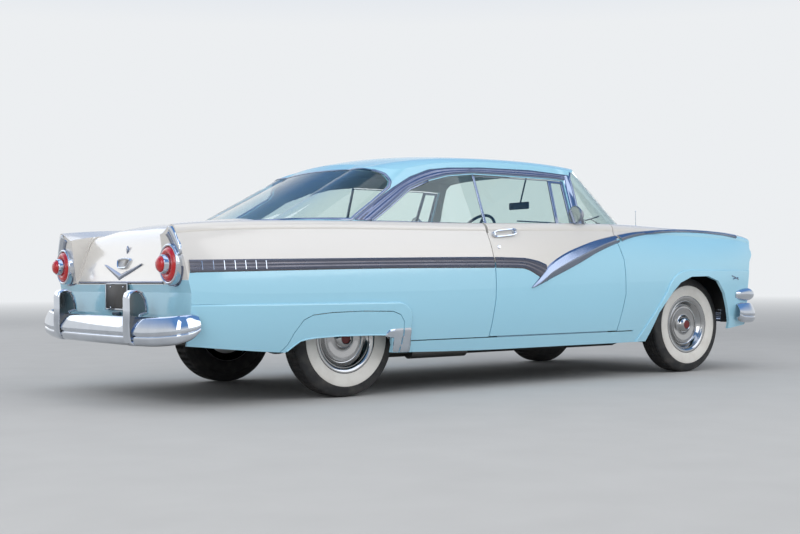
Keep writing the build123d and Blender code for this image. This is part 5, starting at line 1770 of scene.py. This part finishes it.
@dataclass
class Lid(Dress):
    """The trunk lid as one smooth pressed sheet over the CAD lid."""

    half: float = 0.5975
    core: Pair = (-1.800, 0.668)
    front_x: float = -1.7025
    tail: Table = (
        (-2.343, 0.660), (-2.322, 0.707), (-2.299, 0.790), (-2.273, 0.860), (-2.259, 0.903), (-2.238, 0.945),
        (-2.200, 0.981), (-2.150, 1.002), (-2.090, 1.021),
    )

    def build(self) -> None:
        """Makes the lid."""
        skin = Skin("trunk_lid")

        def place(u: float, v: float) -> Vector:
            """The point at two shares from 0 to 1."""
            y = self.half * (2 * u - 1)
            probe = max(-0.590, min(0.590, y))
            edge, _ = skin.above(self.front_x, probe)
            first = math.atan2(edge.z - self.core[1], self.front_x - self.core[0])
            turn = first + (math.radians(179.6) - first) * v
            out = Vector((math.cos(turn), 0.0, math.sin(turn)))
            start = Vector((self.core[0], probe, self.core[1] + 0.002)) + out
            point, _ = skin.cast(start, -out)
            point.y, edge.y = y, y
            if point.x < self.tail[-1][0]:
                point.z = min(point.z, blend_table(self.tail, point.x))
            return point if v > 0.0 else edge

        shape = Shape()
        shape.drape(64, 72, place)
        sides = [v for v in shape.bm.verts if abs(abs(v.co.y) - self.half) < 1e-5]
        loose = [v for v in shape.bm.verts if not v.is_boundary or (v in sides and len(v.link_edges) > 2)]
        for _ in range(14):
            shape.soften(loose, 0.5)
            for v in sides:
                v.co.y = math.copysign(self.half, v.co.y)
        bmesh.ops.recalc_face_normals(shape.bm, faces=shape.bm.faces)
        if sum(f.normal.z for f in shape.bm.faces) < 0:
            bmesh.ops.reverse_faces(shape.bm, faces=shape.bm.faces)
        bmesh.ops.solidify(shape.bm, geom=shape.bm.faces, thickness=0.018)
        shape.piece("trunk_lid_sheet", self.finishes["white_enamel"], "trunk_lid", "body_paint", 40.0,
                    ["trunk_lid"])


@dataclass
class Bumper(Dress):
    """One bumper: a pressed bar that wraps round the corners, and two hooked guards."""

    name: str
    end: int
    plan: Table
    low: Pair
    high: Pair
    guard_y: Pair = (0.469, 0.545)
    cheek_edge: float = 0.007
    cheek_deep: float = 0.012
    section: Table = (
        (1.00, 0.050), (1.01, 0.040), (0.995, 0.032), (0.96, 0.027), (0.88, 0.021), (0.76, 0.013),
        (0.62, 0.006), (0.50, 0.002), (0.42, 0.002), (0.37, 0.005), (0.345, 0.010), (0.325, 0.009),
        (0.30, 0.004), (0.24, 0.003), (0.16, 0.006), (0.08, 0.013), (0.02, 0.026), (0.00, 0.042),
    )
    guard_side: Table = (
        (2.440, 0.330), (2.488, 0.334), (2.510, 0.350), (2.518, 0.385), (2.521, 0.440), (2.519, 0.520),
        (2.520, 0.590), (2.512, 0.618), (2.492, 0.634), (2.462, 0.638), (2.430, 0.624), (2.408, 0.590),
        (2.397, 0.540), (2.396, 0.505), (2.436, 0.492), (2.452, 0.440),
    )

    def build(self) -> None:
        """Makes the bar and its guards, which stand for the CAD bumper."""
        bar = Shape()
        heights = [(i / (len(self.section) - 1), h) for i, (h, _) in enumerate(self.section)]
        depths = [(i / (len(self.section) - 1), d) for i, (_, d) in enumerate(self.section)]

        def place(t: float, u: float) -> Vector:
            """The point at two shares from 0 to 1."""
            point, out = self._along(t)
            reach = abs(2 * t - 1)
            lift = max(0.0, (reach - 0.55) / 0.45) ** 2
            low = self.low[0] + (self.low[1] - self.low[0]) * lift
            high = self.high[0] + (self.high[1] - self.high[0]) * lift
            close = max(0.0, (reach - 0.94) / 0.06) ** 2
            low, high = low + (high - low) * 0.22 * close, high - (high - low) * 0.10 * close
            rise = Vector((0, 0, low + (high - low) * blend_table(heights, u)))
            return rise + point - out * blend_table(depths, u)

        bar.drape(150, 40, place, 0.0035)
        self.bright(bar, f"{self.name}_bar", sharp=50.0, replaces=[self.name])
        for side in Side:
            self._guard(side)

    def _at(self, t: float) -> Vector:
        """Finds a share of the way along the bar's plan, on a smooth curve through its points.

        Args:
            t: The share, from 0 to 1.

        Returns:
            The point.
        """
        runs = [math.dist(a, b) for a, b in zip(self.plan, self.plan[1:])]
        left = min(max(t, 0.0), 1.0) * sum(runs)
        index = 0
        while index < len(runs) - 1 and left > runs[index]:
            left -= runs[index]
            index += 1
        share = min(1.0, left / runs[index])
        near = (min(max(i, 0), len(self.plan) - 1) for i in range(index - 1, index + 3))
        ends = [Vector((*self.plan[i], 0.0)) for i in near]
        spans = [max(1e-6, (b - a).length) for a, b in zip(ends, ends[1:])]
        first = (ends[2] - ends[0]) * (spans[1] / (spans[0] + spans[1]))
        last = (ends[3] - ends[1]) * (spans[1] / (spans[1] + spans[2]))
        s2, s3 = share ** 2, share ** 3
        return (ends[1] * (2 * s3 - 3 * s2 + 1) + first * (s3 - 2 * s2 + share) + ends[2] * (3 * s2 - 2 * s3)
                + last * (s3 - s2))

    def _along(self, t: float) -> tuple[Vector, Vector]:
        """Finds the bar's outer face, seen from above, a share of the way along it.

        Args:
            t: The share, from 0 to 1.

        Returns:
            The point and the way out.
        """
        point = self._at(t)
        run = (self._at(min(1.0, t + 0.004)) - self._at(max(0.0, t - 0.004))).normalized()
        return point, Vector((run.y, -run.x, 0.0)) * self.end

    def _guard(self, side: Side) -> None:
        """Makes one guard, with a hollow in each cheek in dark chrome that is painted shade.

        Args:
            side: The car's side.
        """
        shape = Shape()
        y0, y1 = self.guard_y
        shape.slab([side.put(self.end * x, y0, z) for x, z in self.guard_side], side.put(0, y1 - y0, 0))
        edges = [e for e in shape.bm.edges if abs(e.verts[0].co.y - e.verts[1].co.y) < 1e-6]
        shape.rounded(edges, 0.010, 4)
        bmesh.ops.recalc_face_normals(shape.bm, faces=shape.bm.faces)
        cheeks = [f for f in shape.bm.faces if abs(f.normal.y) > 0.99 and f.calc_area() > 0.004]
        for cheek in cheeks:
            shape.recess([cheek], self.cheek_edge, ACROSS * -math.copysign(self.cheek_deep, cheek.normal.y))
        guard = self.bright(shape, f"{self.name}_guard_{side.word}", sharp=35.0)
        # The cheek hollows take the second finish, dark chrome: painted shade.
        guard.data.materials.append(self.finishes["dark_chrome"])


@dataclass
class Brightwork(Dress):
    """Both bumpers, the grille's rounded edges and the looped door pulls."""

    rear_plan: Table = (
        (-2.294, -0.955), (-2.340, -0.958), (-2.380, -0.957), (-2.408, -0.948), (-2.430, -0.930),
        (-2.444, -0.900), (-2.462, -0.820), (-2.480, -0.720), (-2.496, -0.600), (-2.508, -0.440),
        (-2.515, -0.240), (-2.518, 0.0),
    )
    front_plan: Table = (
        (2.080, -0.955), (2.170, -0.956), (2.235, -0.950), (2.285, -0.928), (2.328, -0.892), (2.378, -0.835),
        (2.418, -0.765), (2.452, -0.680), (2.480, -0.560), (2.500, -0.420), (2.513, -0.240), (2.518, 0.0),
    )

    def build(self) -> None:
        """Makes all of it."""
        for name, end, plan, low, high in (
            ("rear_bumper", -1, self.rear_plan, (0.336, 0.380), (0.490, 0.514)),
            ("front_bumper", 1, self.front_plan, (0.336, 0.354), (0.480, 0.492)),
        ):
            whole = plan + tuple((x, -y) for x, y in reversed(plan[:-1]))
            Bumper(self.finishes, name, end, whole, low, high).build()
        grille = Shape()
        grille.copy_of("grille")
        self.bright(grille, "grille_bright", sharp=30.0, replaces=["grille"])
        for side in Side:
            self._door_fittings(side)

    def _door_fittings(self, side: Side) -> None:
        """Keeps the CAD mirror and vent frame, and makes the door's pull a loop.

        Args:
            side: The car's side.
        """
        node = f"door_fittings_{side.word}"
        shape = Shape()
        shape.copy_of(node)
        bmesh.ops.delete(shape.bm, geom=[v for v in shape.bm.verts if v.co.x < 0.0], context="VERTS")
        self.bright(shape, f"{node}_bright", "frame_stainless", f"door_{side.word}", 30.0, [node])
        skin = Skin("door_right")
        path = []
        for step in range(48):
            turn = math.tau * step / 48
            x = -0.148 + 0.092 * math.copysign(abs(math.cos(turn)) ** 0.45, math.cos(turn))
            lift = math.copysign(abs(math.sin(turn)) ** 0.60, math.sin(turn))
            z = 0.968 + 0.019 * lift + 0.10 * (x + 0.148)
            point, normal = skin.beside(max(x, -0.225), 0.960)
            point.x, point.z = x, z
            point.y -= 0.013
            path.append((mirrored(point, side), mirrored(normal, side)))
        loop = Shape()
        loop.sweep([(-0.0055, -0.004), (-0.0055, 0.003), (-0.003, 0.0065), (0.003, 0.0065), (0.0055, 0.003),
                    (0.0055, -0.004)], path, closed=True)
        for x in (-0.236, -0.060):
            point, normal = skin.beside(x, 0.968 + 0.10 * (x + 0.148))
            point, normal = mirrored(point, side), mirrored(normal, side)
            loop.bar(point - normal * 0.003, point + normal * 0.014, 0.016, 0.012, 24)
        self.bright(loop, f"door_pull_{side.word}", "chrome_plate", f"door_{side.word}", 40.0)


@dataclass
class Pad:
    """One cushion: where it lies, how it is rounded and where its channels are sewn."""

    name: str
    low: Triple
    high: Triple
    lean: float = 0.0
    round_by: float = 0.035
    puff: float = 0.022
    pitch: float = 0.095
    margin: float = 0.13
    axis: int = 2


@dataclass
class Seats(Dress):
    """The padded front and rear seats, with sewn channels and a plain base."""

    voxel: float = 0.013
    stitch: float = 0.009
    frames: int = 20
    front: tuple[Pad, ...] = (
        Pad("front_cushion", (0.005, -0.655, 0.500), (0.550, 0.655, 0.640), axis=2),
        Pad("front_back_right", (-0.098, -0.655, 0.640), (-0.020, -0.008, 1.040), lean=-0.13, axis=0),
        Pad("front_back_left", (-0.098, 0.008, 0.640), (-0.020, 0.655, 1.040), lean=-0.13, axis=0),
    )
    rear: tuple[Pad, ...] = (
        Pad("rear_cushion", (-1.010, -0.552, 0.535), (-0.580, 0.552, 0.655), axis=2),
        Pad("rear_back", (-1.135, -0.552, 0.650), (-1.055, 0.552, 0.912), lean=-0.20, axis=0),
    )

    def build(self) -> None:
        """Makes the pads and their bases."""
        base = Shape()
        base.block((-0.080, -0.640, 0.440), (0.540, 0.640, 0.500), 0.012)
        base.block((0.0, -0.600, 0.3045), (0.500, -0.170, 0.445))
        base.block((0.0, 0.170, 0.3045), (0.500, 0.600, 0.445))
        base.piece("front_seat_base", self.finishes["dark_trim"], "body", "seat_cover", 32.0, ["front_seat"])
        rear = Shape()
        rear.block((-1.085, -0.560, 0.5125), (-0.580, 0.560, 0.540), 0.006)
        rear.piece("rear_seat_base", self.finishes["dark_trim"], "body", "seat_cover", 32.0, ["rear_seat"])
        for pad in self.front + self.rear:
            self._pad(pad)

    def _pad(self, pad: Pad) -> None:
        """Makes one pad.

        Args:
            pad: The pad.
        """
        shape = Shape()
        shape.block(pad.low, pad.high, pad.round_by, 3)
        foot = pad.low[2]
        for v in shape.bm.verts:
            v.co.x += (v.co.z - foot) * pad.lean
        thing = shape.piece(pad.name, self.finishes["pale_vinyl"], "body", "seat_cover", 80.0)
        thing.data.materials.append(self.finishes["seat_cloth"])
        self._inflate(thing, pad)
        self._sew(thing, pad)

    def _inflate(self, thing: bpy.types.Object, pad: Pad) -> None:
        """Fills the pad with air for a moment, and keeps the shape that it takes.

        Args:
            thing: The pad's object.
            pad: The pad.
        """
        scene = bpy.context.scene
        bpy.context.view_layer.objects.active = thing
        thing.select_set(True)
        remesh = thing.modifiers.new("even", "REMESH")
        remesh.mode = "VOXEL"
        remesh.voxel_size = self.voxel
        bpy.ops.object.modifier_apply(modifier=remesh.name)
        rest = [v.co.copy() for v in thing.data.vertices]
        cloth = thing.modifiers.new("air", "CLOTH")
        cloth.settings.use_pressure = True
        cloth.settings.uniform_pressure_force = 4.0
        cloth.settings.effector_weights.gravity = 0.0
        cloth.point_cache.frame_start, cloth.point_cache.frame_end = 1, self.frames
        for step in range(1, self.frames + 1):
            scene.frame_set(step)
        bpy.ops.object.modifier_apply(modifier=cloth.name)
        scene.frame_set(1)
        for v, start in zip(thing.data.vertices, rest):
            move = v.co - start
            if move.length > pad.puff:
                v.co = start + move.normalized() * pad.puff
        thing.select_set(False)
        finer = thing.modifiers.new("finer", "SUBSURF")
        finer.levels = finer.render_levels = 1
        with bpy.context.temp_override(object=thing, active_object=thing):
            bpy.ops.object.modifier_apply(modifier=finer.name)

    def _sew(self, thing: bpy.types.Object, pad: Pad) -> None:
        """Presses the sewn channels into the pad and gives its middle the woven cloth.

        Args:
            thing: The pad's object.
            pad: The pad.
        """
        bm = bmesh.new()
        bm.from_mesh(thing.data)
        bm.normal_update()
        y0, y1 = pad.low[1] + pad.margin, pad.high[1] - pad.margin
        count = max(2, round((y1 - y0) / pad.pitch))
        gap = (y1 - y0) / count
        for v in bm.verts:
            if not y0 - 0.02 < v.co.y < y1 + 0.02:
                continue
            facing = v.normal.z if pad.axis == 2 else v.normal.x
            if facing < 0.55:
                continue
            off = (v.co.y - y0) / gap
            near = abs(off - round(off)) * gap
            v.co -= v.normal * self.stitch * math.exp(-(near / self.stitch) ** 2)
        for face in bm.faces:
            face.smooth = True
            middle = face.calc_center_median()
            facing = face.normal.z if pad.axis == 2 else face.normal.x
            face.material_index = 1 if y0 < middle.y < y1 and facing > 0.5 else 0
        bm.to_mesh(thing.data)
        bm.free()


@dataclass
class CabinFittings(Dress):
    """Mirror, wheel ring, dials, door rests and wipers."""

    def build(self) -> None:
        """Makes the fittings."""
        self._mirror()
        self._wheel_ring()
        self._dash()
        for side in Side:
            self._door_rest(side)
            self._wiper(side)
        self._antenna()

    def _mirror(self) -> None:
        """Hangs the inside mirror from the roof's front rail."""
        shape = Shape()
        shape.block((0.774, -0.105, 1.183), (0.790, 0.105, 1.235), 0.007)
        point, _ = Skin("roof").cast(Vector((0.86, 0.0, 1.2)), UP)
        shape.bar(Vector((0.790, 0.0, 1.215)), point, 0.006, sides=14)
        shape.piece("inside_mirror", self.finishes["dark_trim"], "body", "dark_plastic")

    def _wheel_ring(self) -> None:
        """Adds the horn ring and the hub cap to the steering wheel."""
        centre, along = Vector((0.640, 0.350, 0.975)), Vector((-0.86, 0.0, 0.51)).normalized()
        shape = Shape()
        ring = [(0.125 + 0.004 * math.cos(a), 0.022 + 0.004 * math.sin(a))
                for a in (math.tau * i / 10 for i in range(11))]
        shape.turn(ring, centre, along, 64)
        cap = [(0.0, 0.042), (0.018, 0.040), (0.030, 0.034), (0.033, 0.029), (0.0, 0.029)]
        shape.turn(cap, centre, along, 40)
        across = along.cross(ACROSS).normalized()
        for way in (ACROSS, -ACROSS):
            shape.bar(centre + along * 0.026, centre + along * 0.022 + way * 0.125, 0.004, sides=10)
        shape.bar(centre + along * 0.026, centre + along * 0.022 + across * 0.125, 0.004, sides=10)
        self.bright(shape, "horn_ring")

    def _dash(self) -> None:
        """Adds a strip, a dial and knobs to the dashboard's face."""
        shape = Shape()
        shape.block((0.7575, -0.660, 0.826), (0.7625, 0.660, 0.838), 0.002)
        shape.turn([(0.078, 0.0), (0.078, 0.010), (0.084, 0.012), (0.088, 0.008), (0.088, 0.0), (0.078, 0.0)],
                   Vector((0.762, 0.350, 0.872)), BACK, 56)
        for y in (0.08, 0.0, -0.08, 0.20, 0.50):
            shape.turn([(0.0, 0.020), (0.009, 0.019), (0.011, 0.015), (0.010, 0.0), (0.0, 0.0)],
                       Vector((0.762, y, 0.800)), BACK, 20)
        self.bright(shape, "dash_bright")
        dial = Shape()
        dial.turn([(0.0, 0.004), (0.077, 0.004), (0.077, 0.0), (0.0, 0.0)], Vector((0.762, 0.350, 0.872)),
                  BACK, 48)
        dial.piece("dash_dial", self.finishes["dark_trim"], "body", "dark_plastic")

    def _door_rest(self, side: Side) -> None:
        """Adds the arm rest, window crank and release to the door's inner side.

        Args:
            side: The car's side.
        """
        rest = Shape()
        y0, y1 = sorted((side.value * 0.737, side.value * 0.774))
        rest.block((0.080, y0, 0.640), (0.430, y1, 0.690), 0.014)
        rest.piece(f"arm_rest_{side.word}", self.finishes["blue_vinyl"], f"door_{side.word}", "seat_cover")
        crank = Shape()
        for x, z, swing in ((0.250, 0.800, 0.075), (0.560, 0.820, 0.045)):
            crank.bar(side.put(x, 0.774, z), side.put(x, 0.750, z), 0.016, 0.011)
            crank.bar(side.put(x, 0.755, z), side.put(x - swing, 0.752, z - 0.012), 0.006, 0.005, 12)
            crank.ball(side.put(x - swing, 0.750, z - 0.012), 0.010)
        self.bright(crank, f"door_cranks_{side.word}", "chrome_plate", f"door_{side.word}")

    def _wiper(self, side: Side) -> None:
        """Lays one wiper against the windshield's lower edge.

        Args:
            side: The car's side.
        """
        glass = Skin("windshield")
        shape = Shape()
        path = []
        for step in range(10):
            y = -0.08 - 0.36 * step / 9
            point, normal = glass.cast(Vector((3.0, y, 1.092 + 0.030 * step / 9)), BACK)
            path.append((mirrored(point + normal * 0.004, side), mirrored(normal, side)))
        shape.sweep([(-0.004, -0.003), (-0.002, 0.006), (0.002, 0.006), (0.004, -0.003)], path)
        root, normal = Skin("cowl").above(1.345, -0.26)
        start = mirrored(root, side)
        shape.bar(start, path[5][0] + path[5][1] * 0.006, 0.005, 0.003, 12)
        shape.bar(start + Vector((0, 0, -0.004)), start + Vector((0, 0, 0.014)), 0.012, 0.010, 20)
        self.bright(shape, f"wiper_{side.word}", "grey_stainless")

    def _antenna(self) -> None:
        """Stands the pushed-in antenna on the right front fender."""
        foot, _ = Skin("front_fenders").above(1.192, -0.760)
        shape = Shape()
        shape.turn([(0.0, 0.020), (0.006, 0.019), (0.011, 0.010), (0.014, -0.002), (0.0, -0.002)], foot,
                   UP, 24)
        shape.bar(foot, foot + Vector((0, 0, 0.115)), 0.0028, 0.0022, 12)
        shape.ball(foot + Vector((0, 0, 0.117)), 0.0045)
        self.bright(shape, "antenna")


def main() -> None:
    """Builds the whole car round its frame."""
    logging.basicConfig(level=logging.INFO)
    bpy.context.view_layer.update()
    Studio().build()
    finishes = FinishBook()
    BodyShell(finishes).build()
    for spot in Spot:
        for side in Side:
            Tyre(finishes).build(spot, side)
            WheelCover(finishes).build(spot, side)
    for part in (SideTrim, RoofTrim, TailLamp, PaneFrames, SideDress, TailDress, Lid, Brightwork, Seats,
                 CabinFittings):
        part(finishes).build()
    bpy.context.view_layer.update()


if __name__ == "__main__":
    main()
